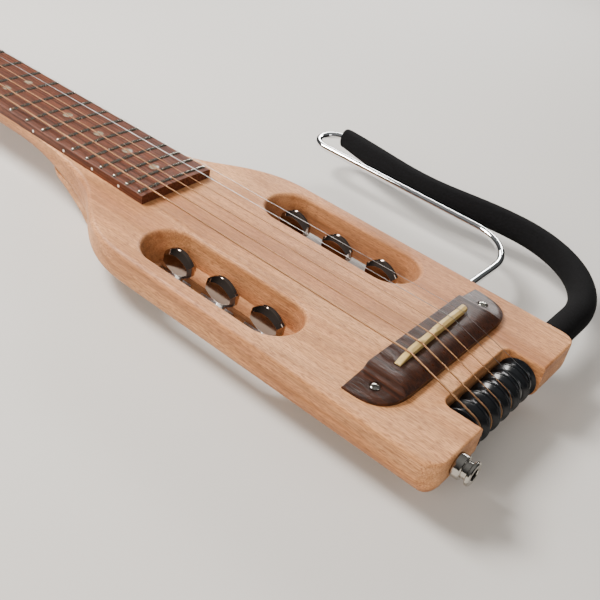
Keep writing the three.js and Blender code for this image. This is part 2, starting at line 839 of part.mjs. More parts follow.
function wingScoop(side) {
  const shape = new THREE.Shape();
  shape.moveTo(side * wingStartY, bridgeHeight + overrun);
  shape.lineTo(side * wingStartY, bridgeHeight);
  shape.bezierCurveTo(side * lerp(wingStartY, wingFlatY, wingPullShare), bridgeHeight,
    side * lerp(wingStartY, wingFlatY, wingPullShare), bridgeEdgeHeight, side * wingFlatY, bridgeEdgeHeight);
  shape.lineTo(side * (bridgeHalf + overrun), bridgeEdgeHeight);
  shape.lineTo(side * (bridgeHalf + overrun), bridgeHeight + overrun);
  return beamAlongX(shape, [bridgeRearX - overrun, bridgeFrontX + overrun], 6);
}

function turnedAboutSaddle(geometry) {
  return geometry.rotateZ(saddleAngle).translate(saddleX, 0, 0);
}

// The crown rises to just below each string.
function saddleShape() {
  const points = saddleEnds.map(y => [y, saddleSeatHeight]);
  points.push([saddleEnds[1], saddleEndHeight]);
  for (const number of [...strings].reverse()) {
    const y = stringY(number, saddlePitch);
    points.push([y, saddleStringHeight - stringRadius(number) - fitGap - camberDrop(y)]);
  }
  points.push([saddleEnds[0], saddleEndHeight]);
  return outline(points);
}

const saddleHalf = saddleThickness / 2;
const saddleSlot = turnedAboutSaddle(box([-saddleHalf - fitGap, saddleHalf + fitGap],
  [saddleEnds[0] - fitGap, saddleEnds[1] + fitGap], [bridgeFloor, bridgeHeight + overrun]));
const bridgeHoleRadius = screwShankRadius + fitGap;
const bridgeCutters = [-1, 1].map(side =>
  barAlongZ(bridgeHoleRadius, bridgeScrewX, side * bridgeScrewY, [-overrun, bridgeHeight], smallSides));
bridgeCutters.push(rearFall(), wingScoop(1), wingScoop(-1), saddleSlot, leadTube(leadBoreRadius, overrun));
const bridgeBlank = prism(bridgeShape(), [0, bridgeHeight], bridgeCurveParts);
add('bridge', cut(bridgeBlank, ...bridgeCutters), finishes.bridge);
add('saddle', turnedAboutSaddle(beamAlongX(saddleShape(), [-saddleHalf, saddleHalf])), finishes.bone);
const pickupHeights = [bridgeFloor + fitGap, bridgeFloor + fitGap + pickupThickness];
add('pickup_strip', turnedAboutSaddle(box([-pickupWidth / 2, pickupWidth / 2], [-pickupHalf, pickupHalf],
  pickupHeights)), finishes.copper);
add('pickup_lead', leadTube(leadRadius, 0), finishes.black);
const bridgeScrew = screw(screwHeadRadius, screwHeadHeight, screwShankRadius, screwLength);
for (const [name, side] of bothSides) {
  const placed = bridgeScrew.clone().translate(bridgeScrewX, side * bridgeScrewY, bridgeEdgeHeight);
  add(`bridge_screw_${name}`, placed, finishes.nickel);
}

// Output jack, turned about X, with its barrel in the tail and its collar, neck and flange outside

function outputJack() {
  const collarX = tailX - jackCollarLength;
  const neckX = collarX - jackNeckLength;
  const holeEndX = jackInnerX - jackPlugLength;
  const profile = [
    [0, jackInnerX],
    [jackBarrelRadius, jackInnerX],
    [jackBarrelRadius, tailX - fitGap],
    [jackCollarRadius, tailX - fitGap],
    [jackCollarRadius, collarX + jackChamfer],
    [jackCollarRadius - jackChamfer, collarX],
    [jackNeckRadius, collarX],
    [jackNeckRadius, neckX],
    [jackCollarRadius - jackChamfer, neckX],
    [jackCollarRadius, neckX - jackChamfer],
    [jackCollarRadius, jackOuterX + jackChamfer],
    [jackCollarRadius - jackChamfer, jackOuterX],
    [jackHoleRadius, jackOuterX],
    [jackHoleRadius, holeEndX],
    [0, holeEndX],
  ];
  return lathe(profile, fineSides).rotateZ(-quarterTurn).translate(0, jackY, -jackDepth);
}

add('output_jack', outputJack(), finishes.nickel);

// Rollers on their axle: two lips, a groove for the string, and a hub on each side that keeps the next off

function roller(number) {
  const groove = rollerStringRadius - stringRadius(number) - fitGap;
  const lip = rollerHalfWidth - rollerChamfer;
  const hub = (saddlePitch - fitGap) / 2;
  const half = [
    [axleRadius + fitGap, hub],
    [rollerHubRadius, hub],
    [rollerHubRadius, rollerHalfWidth],
    [rollerLipRadius - rollerChamfer, rollerHalfWidth],
    [rollerLipRadius, lip],
    [rollerLipRadius, lip - rollerLipWidth],
    [groove, rollerGrooveHalf],
  ];
  const profile = [...half, ...half.map(([radius, width]) => [radius, -width]).reverse()];
  profile.push(profile[0]);
  return lathe(profile, rollerSides).translate(rollerX, stringY(number, saddlePitch), -rollerDepth);
}

add('roller_axle', barAlongY(axleRadius, rollerX, [-axleHalf, axleHalf], -rollerDepth), finishes.steel);
for (const number of strings) add(`roller_${number}`, roller(number), finishes.black);

// Tuners: a button with its shaft and worm, a post with its gear, a housing and its screw

function lathedOnZ(profile, x, y, segments) {
  return lathe(profile, segments).rotateX(quarterTurn).translate(x, y, 0);
}

// The button is an oval that lies in X and Z, and is bevelled toward both flat faces.
function button(keyX, y) {
  const middleZ = buttonRise - buttonHalfHeight;
  const inner = (buttonHalfHeight - buttonBevel) / buttonHalfHeight;
  const rows = [[-1, inner], [-buttonRimShare, 1], [buttonRimShare, 1], [1, inner]];
  return loft(rows.map(([across, grow]) => {
    const points = [];
    for (let i = 0; i < buttonSides; i++) {
      const angle = i / buttonSides * fullTurn;
      points.push(new THREE.Vector3(
        keyX + buttonHalfLength * grow * Math.cos(angle),
        y + across * buttonThickness / 2,
        middleZ + buttonHalfHeight * grow * Math.sin(angle)));
    }
    return points;
  }));
}

function tunerKey(number) {
  const { side, keyX } = tuner(number);
  const buttonFoot = buttonRise - 2 * buttonHalfHeight;
  const profile = [
    [0, buttonFoot + buttonBevel],
    [keyCollarRadius, buttonFoot + buttonBevel],
    [keyCollarRadius, buttonFoot - keyCollarLength],
    [keyShaftRadius, buttonFoot - keyCollarLength],
    [keyShaftRadius, -wormTopDepth],
  ];
  for (let i = 0; i < wormTurns; i++) {
    const z = -wormTopDepth - i * wormPitch;
    profile.push(...wormCrestShares.map(share => [wormRadius, z - wormPitch * share]));
    profile.push([wormRootRadius, z - wormPitch]);
  }
  profile.push([keyShaftRadius, -wormTopDepth - wormTurns * wormPitch]);
  profile.push([keyShaftRadius, -keyEndDepth], [0, -keyEndDepth]);
  return join(button(keyX, side * keyY), lathedOnZ(profile, keyX, side * keyY, screwSides));
}

function gearShape() {
  const points = [];
  for (let i = 0; i < 2 * gearTeeth; i++) {
    const radius = i % 2 ? gearRootRadius : gearRadius;
    const angle = i / (2 * gearTeeth) * fullTurn;
    points.push([radius * Math.cos(angle), radius * Math.sin(angle)]);
  }
  return outline(points);
}

function tunerPost(number) {
  const { side, postX } = tuner(number);
  const wound = postTurns * turnPitch(number);
  const tipY = side * (Math.abs(stringY(number, saddlePitch)) - wound - postEndReach);
  const gearY = side * keyY;
  const gear = beamAlongY(gearShape(), [gearY - gearWidth / 2, gearY + gearWidth / 2]);
  gear.translate(postX, 0, -postDepth);
  return join(gear, barAlongY(postRadius, postX, [tipY, gearY], -postDepth, plainSides));
}

// The housing is open on its outer side, and its boss carries the post through the wall of the lower block.
function tunerHousing(number) {
  const { side, keyX, postX } = tuner(number);
  const gearRoom = gearRadius + fitGap;
  const xReach = [keyX - housingRearReach, keyX + housingFrontReach];
  const yReach = [side * housingInnerY, side * housingOuterY].sort((a, b) => a - b);
  const blank = box(xReach, yReach, [-housingBottomDepth, -housingTopDepth]);
  const bossReach = [side * channelHalf, side * gearChamberInnerY];
  const boss = barAlongY(housingBossRadius, postX, bossReach, -postDepth, plainSides);
  const gearReach = [side * gearChamberInnerY, side * (housingOuterY + overrun)];
  const postReach = [side * (channelHalf - overrun), side * keyY];
  const wormReach = [-keyEndDepth - fitGap, -housingTopDepth + overrun];
  const screwReach = [side * (housingInnerY - overrun), side * (housingOuterY + overrun)];
  const screwX = keyX + housingScrewReach;
  return cut(join(blank, boss),
    barAlongY(gearRoom, postX, gearReach, -postDepth, fineSides),
    barAlongY(postRadius + fitGap, postX, postReach, -postDepth, plainSides),
    barAlongZ(wormRadius + fitGap, keyX, side * keyY, wormReach, plainSides),
    barAlongY(smallShankRadius + fitGap, screwX, screwReach, -postDepth, screwSides));
}

function housingScrew(number) {
  const { side, keyX } = tuner(number);
  return screw(smallHeadRadius, screwHeadHeight, smallShankRadius, housingScrewLength)
    .rotateX(-side * quarterTurn)
    .translate(keyX + housingScrewReach, side * (housingOuterY + fitGap), -postDepth);
}

for (const number of strings) {
  add(`tuner_key_${number}`, tunerKey(number), finishes.chrome);
  add(`tuner_post_${number}`, tunerPost(number), finishes.brass);
  add(`tuner_housing_${number}`, tunerHousing(number), finishes.steel);
  add(`tuner_screw_${number}`, housingScrew(number), finishes.steel);
}

// Strings: ball end, anchor, nut, saddle, round the roller's rear, forward below the body and round the post

function stringPath(number) {
  const saddleY = stringY(number, saddlePitch);
  const nutY = stringY(number, nutPitch);
  const { side, postX } = tuner(number);
  const rollerCentre = new THREE.Vector2(rollerX, -rollerDepth);
  const postCentre = new THREE.Vector2(postX, -postDepth);
  const postWrap = postRadius + stringRadius(number) + fitGap;
  const saddleEdgeX = saddleX - saddleHalf - saddleY * Math.tan(saddleAngle);
  const saddlePoint = new THREE.Vector2(saddleEdgeX, saddleStringHeight - camberDrop(saddleY));
  const points = [
    new THREE.Vector3(ballX, nutY, ballHeight),
    new THREE.Vector3(nutX[1], nutY, nutStringHeight),
    new THREE.Vector3(nutX[0], nutY, nutStringHeight),
    new THREE.Vector3(saddlePoint.x, saddleY, saddlePoint.y),
  ];
  const pushRound = (centre, radius, angle, y) => {
    const x = centre.x + radius * Math.cos(angle);
    points.push(new THREE.Vector3(x, y, centre.y + radius * Math.sin(angle)));
  };

  // The string meets the roller on a tangent from the saddle, and leaves it on a tangent to the post's top.
  const toRoller = rollerCentre.clone().sub(saddlePoint);
  const rollerRun = Math.sqrt(toRoller.lengthSq() - rollerStringRadius ** 2);
  const meetAngle = toRoller.angle() - Math.atan2(rollerStringRadius, rollerRun) - quarterTurn;
  const toPost = postCentre.clone().sub(rollerCentre);
  const crossing = rollerStringRadius + postWrap;
  const leaveTurn = Math.atan2(toPost.y, toPost.x) + Math.asin(crossing / toPost.length());
  const leaveAngle = leaveTurn + halfTurn + quarterTurn;
  for (let i = 0; i <= stringArcSteps; i++) {
    pushRound(rollerCentre, rollerStringRadius, lerp(meetAngle, leaveAngle, i / stringArcSteps), saddleY);
  }
  const steps = stringArcSteps * postTurns;
  for (let i = 0; i <= steps; i++) {
    const turns = i / steps * postTurns;
    pushRound(postCentre, postWrap, leaveTurn + quarterTurn - turns * fullTurn,
      saddleY - side * turns * turnPitch(number));
  }
  return points;
}

function guitarString(number) {
  const nutY = stringY(number, nutPitch);
  const ballReach = [nutY - ballLength / 2, nutY + ballLength / 2];
  const ball = barAlongY(ballRadius, ballX, ballReach, ballHeight, screwSides);
  return join(ball, tube(stringPath(number), stringRadius(number), stringSides));
}

for (const number of strings) {
  add(`string_${number}`, guitarString(number), number > 2 ? finishes.bronze : finishes.plain);
}

// Lap rest: the rod's plan, the foam sleeve over its outer run and the sockets that its legs plug into

function restPlan() {
  const at = (x, y) => new THREE.Vector2(x, y);
  const innerY = -bodyHalf + socketLength - socketLip;
  const frontY = frontBendY - frontBendRadius;
  const farCentre = at(farX, frontY - farRadius);
  const farEndAngle = quarterTurn - farSweep;
  const farReach = at(Math.cos(farEndAngle), Math.sin(farEndAngle)).multiplyScalar(farRadius);
  const farEnd = farCentre.clone().add(farReach);
  const waveStartPull = at(Math.sin(farEndAngle), -Math.cos(farEndAngle)).multiplyScalar(wavePull);
  const rearY = rearBendY - rearBendHeight;
  const rearReach = rearBendX - rearLegX;
  const foamStartAngle = quarterTurn - foamStartTurn;
  const far = (from, to) =>
    new THREE.EllipseCurve(farCentre.x, farCentre.y, farRadius, farRadius, from, to, true);
  const bare = [
    [new THREE.LineCurve(at(frontLegX, innerY), at(frontLegX, frontBendY)), 1],
    [new THREE.EllipseCurve(frontLegX + frontBendRadius, frontBendY, frontBendRadius, frontBendRadius,
      halfTurn, halfTurn + quarterTurn, false), legBendParts],
    [new THREE.LineCurve(at(frontLegX + frontBendRadius, frontY), at(farX, frontY)), 1],
    [far(quarterTurn, foamStartAngle), farBendParts],
  ];
  const covered = [
    [far(foamStartAngle, farEndAngle), foamStartParts],
    [new THREE.CubicBezierCurve(farEnd, farEnd.clone().add(waveStartPull), at(waveX + wavePull, waveY),
      at(waveX, waveY)), waveParts],
    [new THREE.CubicBezierCurve(at(waveX, waveY), at(waveX - wavePull, waveY),
      at(rearBendX + rearWavePull, rearY), at(rearBendX, rearY)), waveParts],
    [new THREE.EllipseCurve(rearBendX, rearBendY, rearReach, rearBendHeight,
      -quarterTurn, -halfTurn, true), rearBendParts],
    [new THREE.LineCurve(at(rearLegX, rearBendY), at(rearLegX, -bodyHalf - socketLip - 2 * fitGap)), 1],
  ];
  const inside = [
    [new THREE.LineCurve(at(rearLegX, -bodyHalf - socketLip - 2 * fitGap), at(rearLegX, innerY)), 1],
  ];
  return { bare, covered, inside };
}

function levelPoints(runs) {
  const places = runs.flatMap(([curve, steps]) => curve.getPoints(steps));
  const kept = places.filter((place, i) => i === 0 || place.distanceTo(places[i - 1]) > fitGap);
  return kept.map(({ x, y }) => new THREE.Vector3(x, y, -restDepth));
}

function socket(legX) {
  const mouth = -bodyHalf - fitGap;
  const bore = rodRadius + fitGap;
  const lip = socketRadius + socketLip;
  const profile = [
    [bore, mouth - socketLip],
    [lip, mouth - socketLip],
    [lip, mouth],
    [socketRadius, mouth],
    [socketRadius, -bodyHalf + socketLength],
    [bore, -bodyHalf + socketLength],
    [bore, mouth - socketLip],
  ];
  return lathe(profile, roundSides).translate(legX, 0, -restDepth);
}

const plan = restPlan();
add('lap_rest_rod', tube(levelPoints([...plan.bare, ...plan.covered, ...plan.inside]), rodRadius, smallSides),
  finishes.chrome);
const sleeve = tube(levelPoints(plan.covered), foamRadius, smallSides, rodRadius + fitGap);
add('lap_rest_foam', sleeve, finishes.foam);
add('lap_rest_socket_front', socket(frontLegX), finishes.nickel);
add('lap_rest_socket_rear', socket(rearLegX), finishes.nickel);

export default group;
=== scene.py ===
import math

import bpy
import numpy as np
from mathutils import Matrix, Vector


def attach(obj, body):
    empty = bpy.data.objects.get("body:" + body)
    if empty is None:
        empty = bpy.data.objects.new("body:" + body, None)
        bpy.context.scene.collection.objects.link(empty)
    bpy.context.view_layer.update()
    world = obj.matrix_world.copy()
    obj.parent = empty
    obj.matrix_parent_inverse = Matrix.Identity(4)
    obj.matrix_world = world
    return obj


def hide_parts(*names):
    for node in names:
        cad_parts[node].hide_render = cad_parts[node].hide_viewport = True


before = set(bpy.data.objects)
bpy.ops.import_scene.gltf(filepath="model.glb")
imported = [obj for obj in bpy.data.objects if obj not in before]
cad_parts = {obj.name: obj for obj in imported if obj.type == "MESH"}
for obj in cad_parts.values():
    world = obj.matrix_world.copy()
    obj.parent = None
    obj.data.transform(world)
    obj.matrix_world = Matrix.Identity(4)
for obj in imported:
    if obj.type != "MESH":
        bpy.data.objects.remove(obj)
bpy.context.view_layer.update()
print("frame loaded")

# Lengths below are in millimetres with zero on the theoretical saddle line and the wooden face.
backRestX = 185.0
keelDepth = 34.0
scaleLength = 628.65
strings = np.arange(1, 7)
middleString = 3.5   # the line between strings 3 and 4
nearAxis = 0.01   # where a turned profile that ends in flat faces leaves its axis

# places that several pieces follow
rollerPlace = {"x": -47.0, "depth": 11.1}
jackPlace = {"y": 50.3, "depth": 8.6}
legPlaces = {"front": 12.2, "rear": -44.5}
restDepth = 11.0


def toMetres(points):   # from those millimetres to the frame's metres
    return (np.asarray(points, float) + [-backRestX, 0, keelDepth]) / 1000


def addObject(name, data):
    thing = bpy.data.objects.new(name, data)
    bpy.context.scene.collection.objects.link(thing)
    return thing


# camera, floor and light

cameraSizes = {
    "place": (-0.33063, 0.33038, 0.30043),
    "right": (-0.75671464, -0.63482721, 0.15613254),
    "up": (0.47836422, -0.37490247, 0.79411322),
    "back": (-0.44559021, 0.67560532, 0.58737281),
    "lens": 53.26,
    "sensor": 36,
    "nearest": 0.01,
}


def addCamera():
    data = bpy.data.cameras.new("photo camera")
    data.lens = cameraSizes["lens"]
    data.sensor_width = cameraSizes["sensor"]
    data.clip_start = cameraSizes["nearest"]
    camera = addObject("photo camera", data)
    columns = [Vector(cameraSizes[name]) for name in ("right", "up", "back")]
    turn = Matrix(columns).transposed().to_4x4()
    camera.matrix_world = Matrix.Translation(cameraSizes["place"]) @ turn
    bpy.context.scene.camera = camera


lightSizes = {
    # name: place, aim, width, height, watts, colour
    "keySoftbox": ((0.62, 0.2, 0.85), (-0.1, 0.0, 0.03), 0.4, 0.4, 29, (1.0, 0.96, 0.91)),
    "sideSoftbox": ((-0.4, 1.2, 0.75), (-0.1, 0.0, 0.03), 1.3, 0.7, 22, (1.0, 0.88, 0.76)),
    "backStrip": ((0.26, -0.82, 0.41), (-0.18, -0.05, 0.03), 0.6, 0.12, 6, (1.0, 0.98, 0.96)),
    "tailSoftbox": ((-0.95, -0.25, 0.55), (-0.2, 0.0, 0.03), 0.35, 0.3, 1.5, (1.0, 0.98, 0.96)),
}
skyLevels = ((0.0, 0.02), (0.25, 0.04), (0.6, 0.13), (1.0, 0.28))   # height, brightness
floorLooks = {"half": 12.0, "colour": (0.55, 0.54, 0.52), "roughness": 0.8}


def addLights():
    for name, (place, aim, width, height, watts, colour) in lightSizes.items():
        data = bpy.data.lights.new(name, "AREA")
        data.shape = "RECTANGLE"
        data.size = width
        data.size_y = height
        data.energy = watts
        data.color = colour
        light = addObject(name, data)
        light.location = place
        light.rotation_euler = (Vector(aim) - Vector(place)).to_track_quat("-Z", "Y").to_euler()
        light.visible_glossy = name != "sideSoftbox"   # kept out of the polished buttons
    world = bpy.data.worlds.new("studio")
    world.use_nodes = True
    tree = world.node_tree
    place = addNode(tree, "TexCoord")
    split = addNode(tree, "SeparateXYZ")
    tree.links.new(place.outputs["Generated"], split.inputs[0])
    sky = greyRamp(tree, split.outputs["Z"], skyLevels)
    tree.links.new(sky, tree.nodes["Background"].inputs["Color"])
    bpy.context.scene.world = world


def addFloor():
    half = floorLooks["half"]
    mesh = bpy.data.meshes.new("floor")
    corners = [(-half, -half, 0), (half, -half, 0), (half, half, 0), (-half, half, 0)]
    mesh.from_pydata(corners, [], [(0, 1, 2, 3)])
    floor = addObject("floor", mesh)
    colour, roughness = (*floorLooks["colour"], 1), floorLooks["roughness"]
    mesh.materials.append(newMaterial("pale floor", Base_Color=colour, Roughness=roughness)[0])


# materials

def newMaterial(name, **values):
    material = bpy.data.materials.new(name)
    material.use_nodes = True
    shader = material.node_tree.nodes["Principled BSDF"]
    for socket, value in values.items():
        shader.inputs[socket.replace("_", " ")].default_value = value
    return material, material.node_tree, shader


def addNode(tree, kind, **settings):
    node = tree.nodes.new("ShaderNode" + kind)
    for key, value in settings.items():
        if hasattr(node, key):
            setattr(node, key, value)
        else:
            node.inputs[key.replace("_", " ")].default_value = value
    return node


def ownPlace(tree, **settings):
    # the piece's own coordinates, moved, turned or stretched
    place = addNode(tree, "TexCoord")
    mapping = addNode(tree, "Mapping", **settings)
    tree.links.new(place.outputs["Object"], mapping.inputs["Vector"])
    return mapping.outputs["Vector"]


def stretchedNoise(tree, scale, turn=(0, 0, 0), detail=3.0, roughness=0.5, distortion=0.0):
    # noise on the piece's own coordinates, stretched by a scale for each axis
    noise = addNode(tree, "TexNoise", Scale=1.0, Detail=detail, Roughness=roughness, Distortion=distortion)
    tree.links.new(ownPlace(tree, Scale=scale, Rotation=turn), noise.inputs["Vector"])
    return noise.outputs["Fac"]


def ramp(tree, value, stops):
    node = addNode(tree, "ValToRGB")
    elements = node.color_ramp.elements
    stops = list(stops)
    while len(elements) < len(stops):
        elements.new(0.5)
    for element, (place, colour) in zip(elements, stops):
        element.position = place
        element.color = (*colour, 1)
    tree.links.new(value, node.inputs["Fac"])
    return node.outputs["Color"]


def greyRamp(tree, value, stops):
    return ramp(tree, value, [(place, (level, level, level)) for place, level in stops])


def mixColour(tree, share, first, second, blend="MIX"):
    node = addNode(tree, "Mix", data_type="RGBA", blend_type=blend)
    for socket, value in ((node.inputs[0], share), (node.inputs[6], first), (node.inputs[7], second)):
        if isinstance(value, bpy.types.NodeSocket):
            tree.links.new(value, socket)
        else:
            socket.default_value = value if isinstance(value, (int, float)) else (*value, 1)
    return node.outputs[2]


def bump(tree, shader, height, strength, distance):
    node = addNode(tree, "Bump", Strength=strength, Distance=distance)
    tree.links.new(height, node.inputs["Height"])
    tree.links.new(node.outputs["Normal"], shader.inputs["Normal"])


def paintFrom(tree, shader, colour, rough=None):
    tree.links.new(colour, shader.inputs["Base Color"])
    if rough is not None:
        tree.links.new(rough, shader.inputs["Roughness"])


bodyWoodLooks = {
    "tones": ((0.30, (0.41, 0.17, 0.072)), (0.46, (0.57, 0.268, 0.116)), (0.60, (0.70, 0.36, 0.165))),
    "pore": (0.20, 0.082, 0.038),
    "bandScale": (4.0, 34.0, 34.0),
    "bandTurn": (0.5, 0, 0.02),
    "ringPlace": (0.0, 0.05, 0.21),
    "ringTurn": (0.0, 0.10, 0.035),
    "ringScale": 38.0,
    "rings": ((0.0, 0.70), (0.45, 1.0)),
    "streakScale": (7.0, 240.0, 240.0),
    "streaks": ((0.32, (0.76, 0.70, 0.62)), (0.55, (1.0, 1.0, 1.0))),
    "fibreScale": (40.0, 1300.0, 1300.0),
    "fibres": ((0.34, 0.66), (0.58, 1.0)),
    "shares": (0.5, 0.9, 0.9),   # of the rings, the streaks and the fibres
    "poreScale": (280.0, 3300.0, 3300.0),
    "poreMask": ((0.50, 0.0), (0.62, 0.75)),
    "poreHeight": ((0.52, 1.0), (0.64, 0.0)),
    "poreBump": (0.25, 0.0002),
    "roughness": ((0.3, 0.60), (0.7, 0.45)),
    "gloss": 0.28,
}


def makeBodyWood():
    # broad tones, growth rings about a tilted axis below the body, streaks, fine fibres and short dark pores
    looks = bodyWoodLooks
    material, tree, shader = newMaterial("open grained wood", Specular_IOR_Level=looks["gloss"])
    bands = stretchedNoise(tree, looks["bandScale"], looks["bandTurn"], detail=4, distortion=0.5)
    streaks = stretchedNoise(tree, looks["streakScale"], detail=3, distortion=0.4)
    fibres = stretchedNoise(tree, looks["fibreScale"], detail=3, roughness=0.7)
    pores = stretchedNoise(tree, looks["poreScale"], detail=1)
    rings = addNode(tree, "TexWave", wave_type="RINGS", rings_direction="X", Scale=looks["ringScale"],
                    Distortion=1.6, Detail=2.0, Detail_Scale=0.5)
    ringPlace = ownPlace(tree, Location=looks["ringPlace"], Rotation=looks["ringTurn"])
    tree.links.new(ringPlace, rings.inputs["Vector"])
    shades = (greyRamp(tree, rings.outputs["Fac"], looks["rings"]), ramp(tree, streaks, looks["streaks"]),
              greyRamp(tree, fibres, looks["fibres"]))
    wood = ramp(tree, bands, looks["tones"])
    for share, shade in zip(looks["shares"], shades):
        wood = mixColour(tree, share, wood, shade, "MULTIPLY")
    wood = mixColour(tree, greyRamp(tree, pores, looks["poreMask"]), wood, looks["pore"])
    paintFrom(tree, shader, wood, greyRamp(tree, fibres, looks["roughness"]))
    bump(tree, shader, greyRamp(tree, pores, looks["poreHeight"]), *looks["poreBump"])
    return material


darkWoodLooks = {
    # name: dark, light, pore, share of the pores, gloss, roughness
    "fretboard wood": ((0.050, 0.015, 0.008), (0.140, 0.045, 0.023), (0.013, 0.004, 0.002), 0.7, 0.25, 0.45),
    "bridge wood": ((0.011, 0.004, 0.002), (0.052, 0.017, 0.008), (0.003, 0.001, 0.001), 0.8, 0.35, 0.26),
}
darkWoodGrain = {
    "streakScale": (16.0, 700.0, 700.0),
    "streakStops": (0.34, 0.66),
    "poreScale": (150.0, 2300.0, 2300.0),
    "poreStops": (0.56, 0.66),
    "poreHeight": ((0.5, 1.0), (0.66, 0.0)),
    "poreBump": (0.3, 0.0002),
    "dull": 0.12,
}
cloudStops = (0.3, 0.7)   # where the clouds of roughness and tone begin and end


def makeDarkWood(name):
    # a dense dark wood: streaks along the neck, and short dark pores
    dark, light, pore, poreShare, gloss, rough = darkWoodLooks[name]
    material, tree, shader = newMaterial(name, Specular_IOR_Level=gloss)
    grain = darkWoodGrain
    streaks = stretchedNoise(tree, grain["streakScale"], detail=5, distortion=0.3)
    pores = stretchedNoise(tree, grain["poreScale"], detail=1)
    wood = ramp(tree, streaks, zip(grain["streakStops"], (dark, light)))
    poreMask = greyRamp(tree, pores, zip(grain["poreStops"], (0.0, poreShare)))
    paintFrom(tree, shader, mixColour(tree, poreMask, wood, pore),
              greyRamp(tree, streaks, zip(cloudStops, (rough + grain["dull"], rough))))
    bump(tree, shader, greyRamp(tree, pores, grain["poreHeight"]), *grain["poreBump"])
    return material


metalLooks = {
    # name: colour, least roughness, how much rougher the dull clouds are
    # nickel's colour is set darker than bare nickel so its reflection of the pale floor stays dim: painted
    # shade
    "nickel plate": ((0.50, 0.475, 0.43), 0.12, 0.06),
    "fret wire": ((0.50, 0.46, 0.39), 0.2, 0.08),
    "plain steel": ((0.52, 0.53, 0.55), 0.34, 0.1),
    "chrome plate": ((0.86, 0.87, 0.88), 0.05, 0.03),
    # the buttons' colour is darkened and tinted brown as a painted reflection of dark surroundings and the
    # brown wood of the slot walls
    "button chrome with painted reflection": ((0.30, 0.23, 0.19), 0.08, 0.04),
    "turned brass": ((0.68, 0.50, 0.24), 0.3, 0.1),
    # the plain strings' colour is set darker than bare steel so their highlights stay dim: painted shade
    "plain string steel": ((0.34, 0.34, 0.34), 0.3, 0.06),
    "copper braid": ((0.55, 0.33, 0.22), 0.4, 0.06),
}
metalCloud = (400.0, 400.0, 400.0)


def makeMetal(name):
    # plated metal with faint uneven polish
    colour, roughness, wear = metalLooks[name]
    material, tree, shader = newMaterial(name, Base_Color=(*colour, 1), Metallic=1.0)
    cloud = stretchedNoise(tree, metalCloud, detail=4)
    polish = greyRamp(tree, cloud, zip(cloudStops, (roughness, roughness + wear)))
    tree.links.new(polish, shader.inputs["Roughness"])
    return material


windingLooks = {
    "turns": 700.0,
    # the colour runs from near black in the hollows between the turns to bronze on their crowns: the dark
    # hollows are painted shade
    "colours": ((0.1, (0.115, 0.05, 0.023)), (0.6, (0.54, 0.30, 0.155))),
    "roughness": ((0.0, 0.55), (1.0, 0.4)),
    "bump": (0.6, 0.0001),
}


def makeWoundString():
    # bronze winding: fine turns across the string's own length, with painted shade in the hollows between
    # them
    looks = windingLooks
    material, tree, shader = newMaterial("bronze winding", Metallic=1.0)
    place = addNode(tree, "TexCoord")
    turns = addNode(tree, "TexWave", wave_type="BANDS", bands_direction="X", Scale=looks["turns"])
    tree.links.new(place.outputs["UV"], turns.inputs["Vector"])
    height = turns.outputs["Fac"]
    paintFrom(tree, shader, ramp(tree, height, looks["colours"]), greyRamp(tree, height, looks["roughness"]))
    bump(tree, shader, height, *looks["bump"])
    return material


skinLooks = {
    # name: colour, shade, roughness, grain for each metre, bump strength and distance, gloss
    "bone": ((0.60, 0.44, 0.18), (0.44, 0.31, 0.11), 0.35, 260.0, 0.1, 0.0001, 0.5),
    "gloss black": ((0.007, 0.008, 0.010), (0.004, 0.005, 0.006), 0.22, 300.0, 0.004, 0.0001, 0.32),
    "black insulation": ((0.03, 0.03, 0.03), (0.02, 0.02, 0.02), 0.6, 700.0, 0.1, 0.0001, 0.5),
    "closed cell foam": ((0.005, 0.005, 0.006), (0.003, 0.003, 0.003), 0.9, 900.0, 0.5, 0.0003, 0.12),
    "white dot": ((0.82, 0.80, 0.74), (0.72, 0.70, 0.64), 0.35, 300.0, 0.05, 0.0001, 0.5),
}
skinDull = 0.05   # how much rougher the skin is where its tone is deep


def makeSkin(name):
    # a smooth moulded or cellular surface with a fine uneven skin
    colour, shade, roughness, scale, strength, distance, gloss = skinLooks[name]
    material, tree, shader = newMaterial(name, Specular_IOR_Level=gloss)
    skin = stretchedNoise(tree, (scale, scale, scale), detail=5, roughness=0.6)
    paintFrom(tree, shader, ramp(tree, skin, zip(cloudStops, (shade, colour))),
              greyRamp(tree, skin, zip(cloudStops, (roughness + skinDull, roughness))))
    bump(tree, shader, skin, strength, distance)
    return material


pearlLooks = {
    "colours": ((0.3, (0.11, 0.08, 0.05)), (0.5, (0.22, 0.18, 0.12)), (0.7, (0.38, 0.34, 0.26))),
    "scale": (420.0, 420.0, 420.0),
    "finish": {"Roughness": 0.25, "Coat_Weight": 0.3},
}


def makePearl():
    # cloudy swirls under a thin clear coat
    looks = pearlLooks
    material, tree, shader = newMaterial("pearl inlay", **looks["finish"])
    swirl = stretchedNoise(tree, looks["scale"], detail=4, distortion=2.5)
    paintFrom(tree, shader, ramp(tree, swirl, looks["colours"]))
    return material


bodyWood = makeBodyWood()
boardWood = makeDarkWood("fretboard wood")
bridgeWood = makeDarkWood("bridge wood")
bone = makeSkin("bone")
nickel = makeMetal("nickel plate")
fretWire = makeMetal("fret wire")
steel = makeMetal("plain steel")
chrome = makeMetal("chrome plate")
# button metal whose dark brown colour is a painted reflection
buttonChrome = makeMetal("button chrome with painted reflection")
brass = makeMetal("turned brass")
bronzeWinding = makeWoundString()
plainString = makeMetal("plain string steel")
rollerBlack = makeSkin("gloss black")
copperBraid = makeMetal("copper braid")
insulation = makeSkin("black insulation")
foamSkin = makeSkin("closed cell foam")
pearl = makePearl()
whiteDot = makeSkin("white dot")
print("materials made")


# mesh helpers

